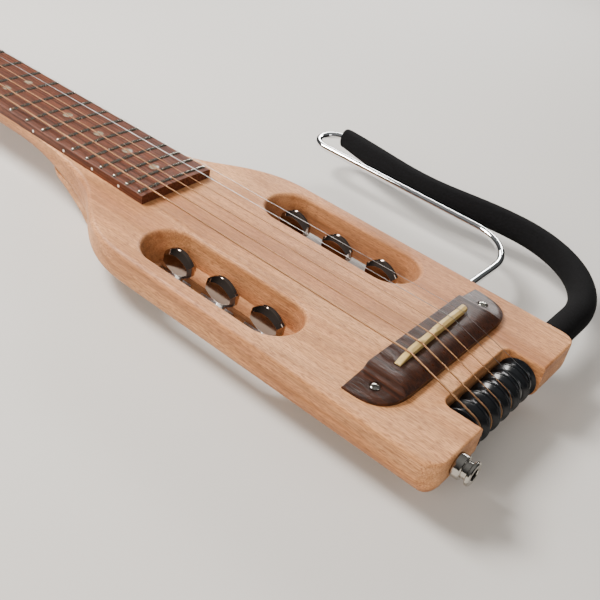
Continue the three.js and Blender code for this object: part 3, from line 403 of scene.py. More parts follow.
def gridFaces(rows, columns, wrapRows=False):
    # quads between neighbouring rows and columns of a grid of points, closed round the columns
    row = np.arange(rows if wrapRows else rows - 1)[:, None]
    column = np.arange(columns)[None, :]
    nextRow = (row + 1) % rows * columns
    nextColumn = (column + 1) % columns
    row = row * columns
    corners = [row + column, row + nextColumn, nextRow + nextColumn, nextRow + column]
    return np.stack(corners, -1).reshape(-1, 4)


def closedFaces(rows, columns):
    # the quads of a tube, with a flat face at both ends
    faces = gridFaces(rows, columns).tolist()
    faces.append(list(range(columns))[::-1])
    faces.append(list(range((rows - 1) * columns, rows * columns)))
    return faces


def meshPoints(mesh):
    places = np.empty(len(mesh.vertices) * 3)
    mesh.vertices.foreach_get("co", places)
    return places.reshape(-1, 3)


def pointOutwards(mesh):
    # turns the faces round if the signed volume is below zero
    mesh.calc_loop_triangles()
    corners = np.empty(len(mesh.loop_triangles) * 3, np.int32)
    mesh.loop_triangles.foreach_get("vertices", corners)
    a, b, c = meshPoints(mesh)[corners.reshape(-1, 3)].transpose(1, 0, 2)
    if (a * np.cross(b, c)).sum() < 0:
        mesh.flip_normals()


def shade(mesh, angle):
    mesh.shade_smooth()
    mesh.set_sharp_from_angle(angle=math.radians(angle))


def makePiece(name, points, faces, material, angle, uv=None):
    # faces are lists of point numbers, and points are millimetres
    mesh = bpy.data.meshes.new(name)
    mesh.from_pydata(toMetres(points).reshape(-1, 3).tolist(), [], faces)
    if uv is not None:
        corners = np.empty(len(mesh.loops), np.int32)
        mesh.loops.foreach_get("vertex_index", corners)
        layer = mesh.uv_layers.new(name="along")
        layer.data.foreach_set("uv", np.asarray(uv, np.float32).reshape(-1, 2)[corners].ravel())
    mesh.validate()
    pointOutwards(mesh)
    shade(mesh, angle)
    if material:
        mesh.materials.append(material)
    return addObject(name, mesh)


def loft(name, sections, material, angle=35, uv=None):
    # a skin over matching closed sections, closed by a flat face at both ends
    return makePiece(name, sections, closedFaces(*sections.shape[:2]), material, angle, uv)


def turned(name, profile, axis, centre, material, sides, closed=False, angle=30):
    # a profile of (radius, place along the axis) carried round that axis; an open one ends in flat faces
    profile = np.asarray(profile, float)
    turn = np.arange(sides) / sides * 2 * np.pi
    radius, along = profile[:, :1], np.repeat(profile[:, 1:], sides, 1)
    across, up = radius * np.cos(turn), radius * np.sin(turn)
    order = {"x": (along, across, up), "y": (across, along, up), "z": (across, up, along)}[axis]
    points = np.stack(order, -1) + centre
    if not closed:
        return loft(name, points, material, angle)
    return makePiece(name, points, gridFaces(len(profile), sides, wrapRows=True).tolist(), material, angle)


def runLengths(path):   # how far along the path each of its points is
    return np.concatenate([[0], np.cumsum(np.linalg.norm(np.diff(path, axis=0), axis=1))])


def sweep(name, path, radius, sides, reference, material, angle=50):
    # circles round a path, square to it, with their start turned to a fixed direction
    path = np.asarray(path, float)
    steps = np.diff(path, axis=0)
    steps /= np.linalg.norm(steps, axis=1, keepdims=True)
    tangent = np.vstack([steps[:1], steps[1:] + steps[:-1], steps[-1:]])
    tangent /= np.linalg.norm(tangent, axis=1, keepdims=True)
    side = np.cross(tangent, reference)
    side /= np.linalg.norm(side, axis=1, keepdims=True)
    lift = np.cross(side, tangent)
    turn = np.arange(sides)[None, :, None] / sides * 2 * np.pi
    radius = np.broadcast_to(np.asarray(radius, float), len(path))[:, None, None]
    rings = path[:, None] + radius * (np.cos(turn) * side[:, None] + np.sin(turn) * lift[:, None])
    along = runLengths(path) / 1000
    uv = np.stack(np.broadcast_arrays(along[:, None], np.arange(sides)[None] / sides), -1)
    return loft(name, rings, material, angle, uv)


def joinPieces(name, pieces, angle=30):
    # one mesh from several, with each face's material kept
    points, faces, materials, slots = [], [], [], []
    start = 0
    for piece in pieces:
        mesh = piece.data
        points.append(meshPoints(mesh))
        faces += [[start + corner for corner in face.vertices] for face in mesh.polygons]
        if mesh.materials[0] not in materials:
            materials.append(mesh.materials[0])
        slots += [materials.index(mesh.materials[0])] * len(mesh.polygons)
        start += len(mesh.vertices)
        bpy.data.objects.remove(piece)
    mesh = bpy.data.meshes.new(name)
    mesh.from_pydata(np.vstack(points).tolist(), [], faces)
    for material in materials:
        mesh.materials.append(material)
    mesh.polygons.foreach_set("material_index", slots)
    shade(mesh, angle)
    return addObject(name, mesh)


def carve(piece, tools, operation="DIFFERENCE", angle=30):
    # takes the tools out of the piece, joins them on or keeps what they share, as its new mesh
    for tool in tools:
        modifier = piece.modifiers.new(tool.name, "BOOLEAN")
        modifier.object = tool
        modifier.operation = operation
        modifier.solver = "EXACT"
    bpy.context.view_layer.update()
    held = piece.evaluated_get(bpy.context.evaluated_depsgraph_get())
    mesh = bpy.data.meshes.new_from_object(held)
    piece.modifiers.clear()
    old = piece.data
    piece.data = mesh
    mesh.name = piece.name
    bpy.data.meshes.remove(old)
    for tool in tools:
        bpy.data.objects.remove(tool)
    shade(mesh, angle)
    return piece


def evenOut(piece):
    # keeps large flat faces flat where they meet a small round
    modifier = piece.modifiers.new("even normals", "WEIGHTED_NORMAL")
    modifier.keep_sharp = True
    modifier.weight = 100
    return piece


def block(name, low, high):
    low, high = np.array(low, float), np.array(high, float)
    square = np.array([[0, 0], [1, 0], [1, 1], [0, 1]])
    corners = np.array([[[x, y, z] for x, y in square] for z in (0, 1)])
    return loft(name, low + corners * (high - low), None)


def bar(name, axis, radius, reach, centre, sides=32):
    return turned(name, [[radius, reach[0]], [radius, reach[1]]], axis, centre, None, sides)


def bezier(points, count):
    # a cubic curve from its four control points
    t = np.linspace(0, 1, count)[:, None]
    a, b, c, d = np.array(points, float)[:, None]
    return a * (1 - t) ** 3 + 3 * b * t * (1 - t) ** 2 + 3 * c * t ** 2 * (1 - t) + d * t ** 3


def arc(centre, radius, start, end, count):
    # points on a circle or an ellipse, with its angles in half turns
    angle = np.linspace(start, end, count) * np.pi
    return np.array(centre) + np.stack([np.cos(angle), np.sin(angle)], 1) * radius


def quarter(count):   # angles over a quarter turn
    return np.linspace(0, np.pi / 2, count)


def roundDrop(radius, distance):   # how far a quarter round has dropped at a distance from the edge
    inside = np.clip(radius - distance, 0, radius)
    return radius - np.sqrt(radius ** 2 - inside ** 2)


def smoothStep(value, low, high):
    share = np.clip((value - low) / (high - low), 0, 1)
    return share * share * (3 - 2 * share)


def mixed(low, high, share):
    return low + (high - low) * share


# body and neck

bodySizes = {
    "tailX": -58.2, "half": 69.5, "depth": 21.5, "topRound": 3.2, "lowRound": 8.0, "tailCorner": 9.5,
    "tailShare": 0.4, "shoulderStart": 128.0, "shoulderMid": (176.0, 51.8), "flareEnd": 268.0,
    "shoulderLead": 22.0, "shoulderTail": 13.0, "flareLead": 12.0, "flareTail": 68.0, "flareDrop": 1.4,
    "slope": 0.745, "bassShift": 13.2, "headEnd": 652.8, "headCorner": 6.0, "heel": (215.0, 292.0),
    "neckDepths": (15.8, 14.2), "neckSide": 3.5, "neckTopRound": 0.4, "neckShare": 0.97,
    "keelHalf": 36.5, "keelRound": 3.0, "keelRoot": 15.5, "noseStart": 195.0, "noseLengths": (40.0, 78.0),
    "noseRise": 18.0, "nosePower": 1.6, "noseInset": 1.5,
    "slotY": (26.4, 59.4), "slotFloor": 18.5, "slotRim": 2.6,
    "bassSlot": (41.5, 147.0), "trebleSlot": (29.0, 134.0),
    "notchX": -35.8, "notchHalf": 31.0, "notchCorner": 5.0, "notchRim": 1.0,
    "channelHalf": 28.0, "channelEnd": 148.0, "channelRoof": 19.8,
    "stations": (2.0, 2.4), "cut": 3.0, "slotCut": 2.0, "ledgeCut": 5.0, "notchCut": 6.0, "rimTop": 2.0,
}
holeSizes = {
    "axle": (2.8, 39.0), "jack": (5.9, -25.6), "leg": (3.8, -75.0, -48.2), "post": (26.0, 38.5),
    "trussPocket": (254.7, 633.95, 3.7, 8.3, 2.0), "trussKey": (2.6, 633.65, 660.0, 4.6),
}
boardSizes = {"endX": 172.2, "endHalf": 27.25, "nutHalf": 23.2, "thickness": 6.4, "camber": 400.0,
              "edge": 0.6, "nutGap": 0.3}
tunerSizes = {
    "keyY": 41.5, "bassX": 61.5, "trebleX": 49.3, "pitch": 32.0, "postReach": 7.2, "postDepth": 27.8,
    "bossRadius": 4.5, "half": (10.2, 8.6), "blunt": 3.0, "thickness": 7.4, "face": (8.8, 5.3, 1.6),
    "bevelShares": ((0, 1), (0.07, 0.975), (0.96, 0.3), (1, 0.22)), "rise": 0.4, "collar": (2.6, 2.4),
    "collarBevel": 0.3, "collarTop": 2.0, "shaft": 1.5,
    "end": -32.6, "worm": (2.0, 1.6, 2.2, 3), "wormTop": -24.0, "crestShares": (0.3, 0.6),
}


def boardHalf(x):
    share = (scaleLength - np.asarray(x, float)) / (scaleLength - boardSizes["endX"])
    return mixed(boardSizes["nutHalf"], boardSizes["endHalf"], share)


def sideCurve(shift):
    # one side's half width along X: tail corner, straight, shoulder, flare into the neck, head corner
    s = bodySizes
    midX, midHalf = s["shoulderMid"][0] + shift, s["shoulderMid"][1]
    flareX = s["flareEnd"] + shift
    headX = s["headEnd"] - s["headCorner"]
    startX = s["shoulderStart"] + shift
    return np.vstack([
        arc((s["tailX"] + s["tailCorner"], s["half"] - s["tailCorner"]), s["tailCorner"], 1, 0.5, 25),
        bezier([(startX, s["half"]), (startX + s["shoulderLead"], s["half"]),
                (midX - s["shoulderTail"], midHalf + s["shoulderTail"] * s["slope"]), (midX, midHalf)], 40),
        bezier([(midX, midHalf), (midX + s["flareLead"], midHalf - s["flareLead"] * s["slope"]),
                (flareX - s["flareTail"], boardHalf(flareX) + s["flareDrop"]),
                (flareX, boardHalf(flareX))], 60)[1:],
        [(s["heel"][1], boardHalf(s["heel"][1]))],
        arc((headX, boardHalf(headX) - s["headCorner"]), s["headCorner"], 0.5, 0, 12),
    ])


def bodyStations():
    s = bodySizes
    tail = s["tailX"] + s["tailCorner"] * (1 - np.cos(quarter(22)))
    lead, step = s["stations"]
    middle = np.arange(s["tailX"] + s["tailCorner"] + lead, s["heel"][1], step)
    neck = np.linspace(s["heel"][1], s["headEnd"] - s["headCorner"], 24)
    head = s["headEnd"] - s["headCorner"] * (1 - np.sin(quarter(12)))
    x = np.concatenate([tail, middle, neck, head[1:]])
    bass, treble = sideCurve(s["bassShift"]), sideCurve(0)
    return x, np.interp(x, bass[:, 0], bass[:, 1]), np.interp(x, treble[:, 0], treble[:, 1])


def bodySkin(x, bassHalf, trebleHalf):
    # sections across X: a flat top with a small quarter round, and below it a larger one that grows into the
    # neck's back
    s = bodySizes
    inward = x - s["tailX"]
    edge = mixed(s["tailShare"], 1, np.clip(inward / s["lowRound"], 0, 1))
    neck = smoothStep(x, *s["heel"])
    along = (x - s["heel"][1]) / (s["headEnd"] - s["heel"][1])
    depth = mixed(s["depth"], mixed(*s["neckDepths"], along), neck)
    top = -roundDrop(s["topRound"] * s["tailShare"], inward)
    bottom = -depth + roundDrop(s["lowRound"], inward)
    topRound = mixed(s["topRound"] * edge, s["neckTopRound"], smoothStep(x, s["heel"][0], s["flareEnd"]))
    lowHeight = mixed(s["lowRound"] * edge, depth - s["neckSide"], neck)
    upper = np.linspace(np.pi / 2, 0, 9)
    lower = quarter(17)
    sides = []
    for sign, half in ((1, bassHalf), (-1, trebleHalf)):
        lowWidth = mixed(s["lowRound"] * edge, half * s["neckShare"], neck)
        y = np.hstack([(half - topRound)[:, None] + topRound[:, None] * np.cos(upper),
                       (half - lowWidth)[:, None] + lowWidth[:, None] * np.cos(lower)])
        z = np.hstack([(top - topRound)[:, None] + topRound[:, None] * np.sin(upper),
                       (bottom + lowHeight)[:, None] - lowHeight[:, None] * np.sin(lower)])
        sides.append(np.stack([np.broadcast_to(x[:, None], y.shape), sign * y, z], -1))
    middle = np.stack([x, 0 * x, top], -1)[:, None], np.stack([x, 0 * x, bottom], -1)[:, None]
    return np.concatenate([middle[0], sides[0], middle[1], sides[1][:, ::-1]], 1)


def keelSkin():
    # level rings with a half oval nose that grows longer as it rises, and a quarter round at the foot
    s = bodySizes
    foot = keelDepth - s["keelRound"] * np.cos(quarter(8))
    depth = np.concatenate([np.linspace(s["keelRoot"], keelDepth - s["keelRound"], 14)[:-1], foot])
    share = np.clip((keelDepth - depth) / (keelDepth - s["noseRise"]), 0, 1)
    inset = roundDrop(s["keelRound"], keelDepth - depth)[:, None]
    length = mixed(s["noseLengths"][0], s["noseLengths"][1], share ** s["nosePower"])[:, None] - inset
    half = s["keelHalf"] - inset
    turn = np.linspace(np.pi / 2, -np.pi / 2, 41)
    x = np.hstack([0 * half + s["notchX"], s["noseStart"] + length * np.cos(turn), 0 * half + s["notchX"]])
    y = np.hstack([half, half * np.sin(turn), -half])
    return np.stack([x, y, np.broadcast_to(-depth[:, None], x.shape)], -1)


def planPrism(name, plan, low, high):
    rings = [np.column_stack([plan, np.full(len(plan), z)]) for z in (low, high)]
    return loft(name, np.array(rings), None)


def flared(outlineAt, floor, rim, top):
    # rings of an outline that widens in a quarter round as it reaches the face
    fall = rim * (1 - np.sin(quarter(8)))
    heights = np.concatenate([[floor], -fall, [top]])
    widths = np.concatenate([[0], roundDrop(rim, fall), [rim]])
    return np.array([np.column_stack([outlineAt(width), np.full(len(outlineAt(0)), z)])
                     for z, width in zip(heights, widths)])


def slotTool(name, reach, side):
    # a long round-ended slot, less the ledge that the lower block keeps beside it
    s = bodySizes
    radius = (s["slotY"][1] - s["slotY"][0]) / 2
    middle = side * sum(s["slotY"]) / 2

    def outline(wider):
        return np.vstack([arc((reach[1] - radius, middle), radius + wider, -0.5, 0.5, 33),
                          arc((reach[0] + radius, middle), radius + wider, 0.5, 1.5, 33)])

    tool = loft(name, flared(outline, -s["depth"] - s["slotCut"], s["slotRim"], s["rimTop"]), None)
    past = s["ledgeCut"]
    ledge = block("ledge", (reach[0] - past, -s["keelHalf"], -s["depth"] - past),
                  (reach[1] + past, s["keelHalf"], -s["slotFloor"]))
    return carve(tool, [ledge])


def pocket(start, end, half, corner, count):
    # the outline of a straight-sided pocket, open at its start and with round corners at its end
    return np.vstack([[(start, -half)], arc((end - corner, corner - half), corner, -0.5, 0, count),
                      arc((end - corner, half - corner), corner, 0, 0.5, count), [(start, half)]])


def notchTool():
    s = bodySizes

    def outline(wider):
        return pocket(s["tailX"] - s["notchCut"], s["notchX"] + wider, s["notchHalf"] + wider,
                      s["notchCorner"] + wider, 12)

    return loft("notch", flared(outline, -keelDepth - s["cut"], s["notchRim"], s["rimTop"]), None)


def tunerPlace(number):
    # the three bass keys stand on the bass side from the tail, and the three treble keys on the treble side
    s = tunerSizes
    if number > 3:
        side, keyX = 1, s["bassX"] + (6 - number) * s["pitch"]
    else:
        side, keyX = -1, s["trebleX"] + (number - 1) * s["pitch"]
    return side, keyX, keyX + s["postReach"]


def bodyHoles():
    # the round holes and the truss rod's pocket
    s = holeSizes
    axleRadius, axleHalf = s["axle"]
    jackRadius, jackEnd = s["jack"]
    legRadius, legOuter, legInner = s["leg"]
    pocketStart, pocketEnd, pocketHalf, pocketDepth, pocketTop = s["trussPocket"]
    keyRadius, keyStart, keyEnd, keyDepth = s["trussKey"]
    tailCut = bodySizes["tailX"] - bodySizes["cut"]
    axle = (rollerPlace["x"], 0, -rollerPlace["depth"])
    tools = [
        bar("axle hole", "y", axleRadius, (-axleHalf, axleHalf), axle),
        bar("jack hole", "x", jackRadius, (tailCut, jackEnd), (0, jackPlace["y"], -jackPlace["depth"])),
        block("truss pocket", (pocketStart, -pocketHalf, -pocketDepth), (pocketEnd, pocketHalf, pocketTop)),
        bar("truss key hole", "x", keyRadius, (keyStart, keyEnd), (0, 0, -keyDepth)),
    ]
    for name, legX in legPlaces.items():
        tools.append(bar(f"{name} leg hole", "y", legRadius, (legOuter, legInner), (legX, 0, -restDepth)))
    for number in strings:
        side, keyX, postX = tunerPlace(number)
        reach = sorted(side * end for end in s["post"])
        tools.append(bar(f"post hole {number}", "y", tunerSizes["bossRadius"], reach,
                         (postX, 0, -tunerSizes["postDepth"])))
    return tools


def makeBody():
    # the skin and the lower block as one, with slots, notch, string channel and holes cut out
    s = bodySizes
    x, bassHalf, trebleHalf = bodyStations()
    body = loft("one-piece-body", bodySkin(x, bassHalf, trebleHalf), bodyWood)
    inset = s["noseInset"]
    bassEdge = np.column_stack([x, np.maximum(bassHalf - inset, inset)])
    trebleEdge = np.column_stack([x, -np.maximum(trebleHalf - inset, inset)])
    shadow = planPrism("plan", np.vstack([bassEdge, trebleEdge[::-1]]), -keelDepth - s["cut"], s["cut"])
    keel = carve(loft("lower block", keelSkin(), bodyWood), [shadow], "INTERSECT")
    carve(body, [keel], "UNION")
    channel = pocket(s["notchX"] - s["cut"], s["channelEnd"], s["channelHalf"], s["notchCorner"], 10)
    carve(body, [
        slotTool("bass slot", s["bassSlot"], 1),
        slotTool("treble slot", s["trebleSlot"], -1),
        notchTool(),
        planPrism("string channel", channel, -keelDepth - s["cut"], -s["channelRoof"]),
    ] + bodyHoles())
    return evenOut(body)


body = makeBody()
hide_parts("body_and_neck")
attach(body, "guitar")
print("body made")


# fretboard, frets and dots

fretSizes = {"count": 22, "width": 2.4, "height": 1.1, "sink": 0.15, "inset": 0.4, "endBevel": 0.9,
             "endShares": (1, 0.985, 0.965, 0.94), "middleShare": 0.9,
             "tipWidthShare": 0.75, "tipHeightShare": 0.15}
dotSizes = {"frets": (3, 5, 7, 9, 12, 15, 17, 19, 21), "pairFret": 12, "pairY": 8.0, "sidePair": 3.5,
            "face": 3.0, "faceSink": 0.8, "proud": 0.03, "bevel": (0.1, 0.05),
            "side": 0.9, "sideSink": 1.0, "sideDome": (0.2, 0.05), "sideDepth": 4.2}


def fretX(number):
    return scaleLength / 2 ** (np.asarray(number) / 12)


def camberDrop(y):
    return boardSizes["camber"] - np.sqrt(boardSizes["camber"] ** 2 - np.asarray(y) ** 2)


def makeBoard():
    # a cambered section with small round edges, carried along X between two widths
    s = boardSizes
    x = np.linspace(s["endX"], scaleLength - s["nutGap"], 40)[:, None]
    half = boardHalf(x)
    share = np.linspace(-1, 1, 25)[None]
    topY = share * (half - s["edge"])
    top = s["thickness"] - camberDrop(topY)
    turn = quarter(5)[None, :-1]
    edgeY = half - s["edge"] + s["edge"] * np.cos(turn)
    edgeZ = s["thickness"] - camberDrop(half) - s["edge"] * (1 - np.sin(turn))
    y = np.hstack([half, edgeY, topY[:, ::-1], -edgeY[:, ::-1], -half])
    z = np.hstack([0 * half, edgeZ, top[:, ::-1], edgeZ[:, ::-1], 0 * half])
    sections = np.stack([np.broadcast_to(x, y.shape), y, z], -1)
    return evenOut(loft("fretboard-wood", sections, boardWood, 40))


def makeFrets():
    # half-oval crowns that follow the camber, and dip in a bevel at both ends
    s = fretSizes
    number = np.arange(1, s["count"] + 1)[:, None, None]
    x = fretX(number)
    half = boardHalf(x) - s["inset"]
    ends = np.array(s["endShares"])
    share = np.concatenate([-ends, np.linspace(-s["middleShare"], s["middleShare"], 19), ends[::-1]])
    y = half * share[None, :, None]
    rise = np.clip((half - np.abs(y)) / s["endBevel"], 0, 1) ** 0.5
    turn = np.linspace(0, np.pi, 11)[None, None]
    seat = boardSizes["thickness"] - camberDrop(y) - s["sink"]
    across = x + np.cos(turn) * s["width"] / 2 * mixed(s["tipWidthShare"], 1, rise)
    up = seat + np.sin(turn) * (s["height"] + s["sink"]) * mixed(s["tipHeightShare"], 1, rise)
    points = np.stack(np.broadcast_arrays(across, y, up), -1)
    rows, columns = points.shape[1:3]
    faces = [[corner + fret * rows * columns for corner in face]
             for fret in range(len(points)) for face in closedFaces(rows, columns)]
    return makePiece("frets", points, faces, fretWire, 50)


def makeDots():
    # thin turned inlays midway between two frets, on the face and in the bass side of the board
    s = dotSizes
    sideZ = boardSizes["thickness"] - s["sideDepth"]
    pieces = []
    for number in s["frets"]:
        paired = number == s["pairFret"]
        x = float(fretX(number) + fretX(number - 1)) / 2
        for y in ((-s["pairY"], s["pairY"]) if paired else (0.0,)):
            top = boardSizes["thickness"] - float(camberDrop(y)) + s["proud"]
            profile = [[s["face"], top - s["faceSink"]], [s["face"], top - s["bevel"][1]],
                       [s["face"] - s["bevel"][0], top]]
            pieces.append(turned(f"dot {number}", profile, "z", (x, y, 0), pearl, 40))
        half = float(boardHalf(x))
        profile = [[s["side"], half - s["sideSink"]], [s["side"], half],
                   [s["side"] - s["sideDome"][0], half + s["sideDome"][1]]]
        for shift in ((-s["sidePair"], s["sidePair"]) if paired else (0.0,)):
            pieces.append(turned(f"side dot {number}", profile, "y", (x + shift, 0, sideZ), whiteDot, 24))
    return joinPieces("position-dots", pieces)


board = makeBoard()
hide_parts("fretboard")
for piece, slot in ((board, "fretboard_wood"), (makeFrets(), "nickel"), (makeDots(), "bone")):
    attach(piece, "guitar")
print("fretboard made")


# bridge, saddle and bridge screws

bridgeSizes = {
    "front": 1.2, "rear": -24.2, "half": 60.4, "height": 6.3, "low": 3.0, "fall": -13.5,
    "corner": (-4.0, 38.0), "pull": 13.0, "rise": 16.0, "wing": (40.5, 46.3), "wingShare": 0.4, "edge": 0.5,
    "roll": (5.0, 0.5), "lean": 0.13, "seatGaps": (0.15, 0.2, 1.4), "cutTop": 9.0,
    "countersink": {"top": 3.1, "foot": 2.6, "floor": 1.7, "rim": 0.2, "cutTop": 8.0},
}
saddleSizes = {
    "x": -8.8, "thickness": 3.3, "ends": (-31.0, 33.0), "bassEnd": 6.8, "angle": 0.03, "seat": 2.6,
    "gap": 0.05, "steps": (0.0, 11.8, 22.5), "stepWidth": 0.4, "front": (0.4, 1.3, 0.4, 1.4),
    "rear": (1.5, 0.5, 1.5, 0.5), "slope": 0.55, "bassFall": (24.8, 1.6), "trebleFall": (29.8, 1.2, 0.35),
}
bridgeScrewSizes = {
    "x": -10.0, "y": 49.7, "seat": 2.0, "radius": 2.5, "height": 1.15, "shank": 1.5, "length": 13.0,
    "brimShare": 0.35, "crossShares": (0.55, 0.13), "recess": 0.75, "cutTop": 1.0,
}
stringSizes = {
    "diameters": (0.3, 0.41, 0.61, 0.81, 1.07, 1.35), "saddlePitch": 9.93, "nutPitch": 7.3,
    "saddleHeight": 10.6, "nutHeight": 8.6, "rollerRadius": 9.2, "postRadius": 3.0, "postTurns": 2,
    "ball": (2.2, 4.6), "ballX": 649.3, "ballHeight": 4.5, "ballHole": 0.8, "ballEdge": 0.3,
    "nutThickness": 5.0, "thicknessShare": 0.8, "gap": 0.3, "turnGap": 0.6, "crownRun": (1.2, 0.02),
}


def saddleY(number):
    return (np.asarray(number) - middleString) * stringSizes["saddlePitch"]


def saddleTurn(points):   # turned about the saddle's middle
    s = saddleSizes
    x, y, z = points[..., 0], points[..., 1], points[..., 2]
    cos, sin = math.cos(s["angle"]), math.sin(s["angle"])
    return np.stack([s["x"] + x * cos - y * sin, x * sin + y * cos, z], -1)


def makeBridge():
    # sections across Y: a top that falls away behind the saddle, cut down by the wings' scoops
    s = bridgeSizes
    cornerX, cornerY = s["corner"]
    corner = bezier([(cornerX, s["half"]), (cornerX - s["pull"], s["half"]),
                     (s["rear"], cornerY + s["rise"]), (s["rear"], cornerY)], 48)[::-1]
    wingY = np.linspace(*s["wing"], 25)
    y = np.unique(np.concatenate([np.linspace(-cornerY, cornerY, 9), corner[:, 1], -corner[:, 1], wingY,
                                  -wingY]).round(3))
    rear = np.interp(np.abs(y), corner[:, 1], corner[:, 0], left=s["rear"])[:, None]
    pullY = mixed(*s["wing"], s["wingShare"])
    scoop = bezier([(s["wing"][0], s["height"]), (pullY, s["height"]), (pullY, s["low"]),
                    (s["wing"][1], s["low"])], 60)
    lean = s["lean"] * np.clip(np.abs(y) - s["wing"][1], 0, None)
    wing = (np.interp(np.abs(y), scoop[:, 0], scoop[:, 1]) - lean)[:, None]
    share = np.linspace(0, 1, 41)[None]
    x = mixed(s["front"] - s["edge"], rear + s["edge"], share)
    fall = np.clip((s["fall"] - x) / (s["fall"] - s["rear"]), 0, 1)
    top = np.minimum(s["height"] - (s["height"] - s["low"]) * fall ** 2, wing)
    top = top - s["roll"][1] * np.clip((rear + s["roll"][0] - x) / s["roll"][0], 0, 1) ** 2
    turn = quarter(6)[None, :-1]
    frontX = s["front"] - s["edge"] + s["edge"] * np.cos(turn)
    frontZ = top[:, :1] - s["edge"] * (1 - np.sin(turn))
    rearX = rear + s["edge"] - s["edge"] * np.cos(turn[:, ::-1])
    rearZ = top[:, -1:] - s["edge"] * (1 - np.sin(turn[:, ::-1]))
    xs = np.hstack([0 * rear + s["front"], frontX + 0 * rear, x, rearX, rear])
    zs = np.hstack([0 * rear, frontZ, top, rearZ, 0 * rear])
    sections = np.stack([xs, np.broadcast_to(y[:, None], xs.shape), zs], -1)
    bridge = loft("bridge-wood", sections, bridgeWood, 30)
    sideGap, endGap, depthGap = s["seatGaps"]
    half = saddleSizes["thickness"] / 2 + sideGap
    low, high = saddleSizes["ends"][0] - endGap, saddleSizes["ends"][1] + endGap
    seat = np.array([[[-half, low, z], [half, low, z], [half, high, z], [-half, high, z]]
                     for z in (saddleSizes["seat"] - depthGap, s["cutTop"])])
    tools = [loft("saddle seat", saddleTurn(seat), None)]
    sink = s["countersink"]
    floor, cutTop = sink["floor"], sink["cutTop"]
    profile = [[nearAxis, floor], [sink["foot"], floor], [sink["top"], s["low"] - sink["rim"]],
               [sink["top"], cutTop], [nearAxis, cutTop]]
    for side in (-1, 1):
        place = (bridgeScrewSizes["x"], side * bridgeScrewSizes["y"], 0)
        tools.append(turned("countersink", profile, "z", place, None, 48))
    return evenOut(carve(bridge, tools))


def stepped(value, places, levels):
    # a level for each stretch between the places, with a short ramp at each place
    total = levels[0] + 0 * value
    for place, low, high in zip(places, levels, levels[1:]):
        total = total + (high - low) * np.clip((value - place) / saddleSizes["stepWidth"] + 0.5, 0, 1)
    return total


def makeSaddle():
    # sections across Y whose crown rises to each string, between front and rear bevels that change in steps
    s = saddleSizes
    y = np.linspace(*s["ends"], 161)
    number = strings[::-1]
    stringRadius = np.array(stringSizes["diameters"])[::-1] / 2
    heights = stringSizes["saddleHeight"] - stringRadius - s["gap"] - camberDrop(saddleY(number))
    crown = np.interp(y, saddleY(number)[::-1], heights[::-1])
    bassStart, bassPower = s["bassFall"]
    end = np.clip((y - bassStart) / (s["ends"][1] - bassStart), 0, 1)
    crown = crown - (crown - s["bassEnd"]) * end ** bassPower
    trebleStart, trebleRun, trebleDrop = s["trebleFall"]
    crown = crown - trebleDrop * np.clip((-y - trebleStart) / trebleRun, 0, 1) ** 2
    front, rear = (stepped(y, s["steps"], s[name]) for name in ("front", "rear"))
    half = s["thickness"] / 2 + 0 * y
    foot = s["seat"] + 0 * y
    x = np.stack([half, half, half - front, rear - half, -half, -half], 1)
    z = np.stack([foot, crown - s["slope"] * front, crown, crown, crown - s["slope"] * rear, foot], 1)
    sections = saddleTurn(np.stack([x, np.broadcast_to(y[:, None], x.shape), z], -1))
    return loft("bone-saddle", sections, bone, 20)


def makeBridgeScrew(name, side):
    # a domed head over a shank, with a cross recess
    s = bridgeScrewSizes
    x, y, seat, radius = s["x"], side * s["y"], s["seat"], s["radius"]
    top = seat + s["height"]
    turn = quarter(9)
    dome = np.stack([radius * np.sin(turn), seat + s["height"] * mixed(s["brimShare"], 1, np.cos(turn))], 1)
    profile = np.vstack([[[nearAxis, top]], dome[1:], [[radius, seat], [s["shank"], seat],
                         [s["shank"], seat - s["length"] + s["shank"]], [nearAxis, seat - s["length"]]]])
    screw = turned(name, profile, "z", (x, y, 0), nickel, 48)
    long, short = (radius * share for share in s["crossShares"])
    low, high = top - s["recess"], top + s["cutTop"]
    arms = [block("arm", (x - reachX, y - reachY, low), (x + reachX, y + reachY, high))
            for reachX, reachY in ((long, short), (short, long))]
    return carve(screw, arms)


bridge = makeBridge()
saddle = makeSaddle()
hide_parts("bridge")
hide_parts("saddle")
for piece, slot in ((bridge, "bridge_wood"), (saddle, "bone")):
    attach(piece, "guitar")
for side, name in ((-1, "treble"), (1, "bass")):
    screw = makeBridgeScrew(f"bridge-screw-{name}", side)
    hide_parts(f"bridge_screw_{name}")
    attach(screw, "guitar")
print("bridge made")


# output jack, rollers and tuner keys

jackSizes = {
    "barrel": 5.6, "collar": 6.2, "collarEdge": (0.2, 0.3), "neck": 4.5, "hole": 3.2, "mouth": 0.4,
    "chamfer": 0.5, "lengths": (4.6, 2.8, 2.1), "gap": 0.3, "barrelEnd": -26.2, "holeEnd": -30.2,
}
rollerSizes = {
    "half": 4.7, "endHalf": 3.3, "lip": 10.85, "grooveHalf": 2.2, "chamfer": 0.6, "bore": 2.8,
    "hub": (4.6, 4.815), "web": 0.2, "webStep": (2.4, 2.2),
    "wall": ((0.9, 0.15), (0.3, 0.4), (0.05, 0.9)), "floorHalf": 0.3,
}


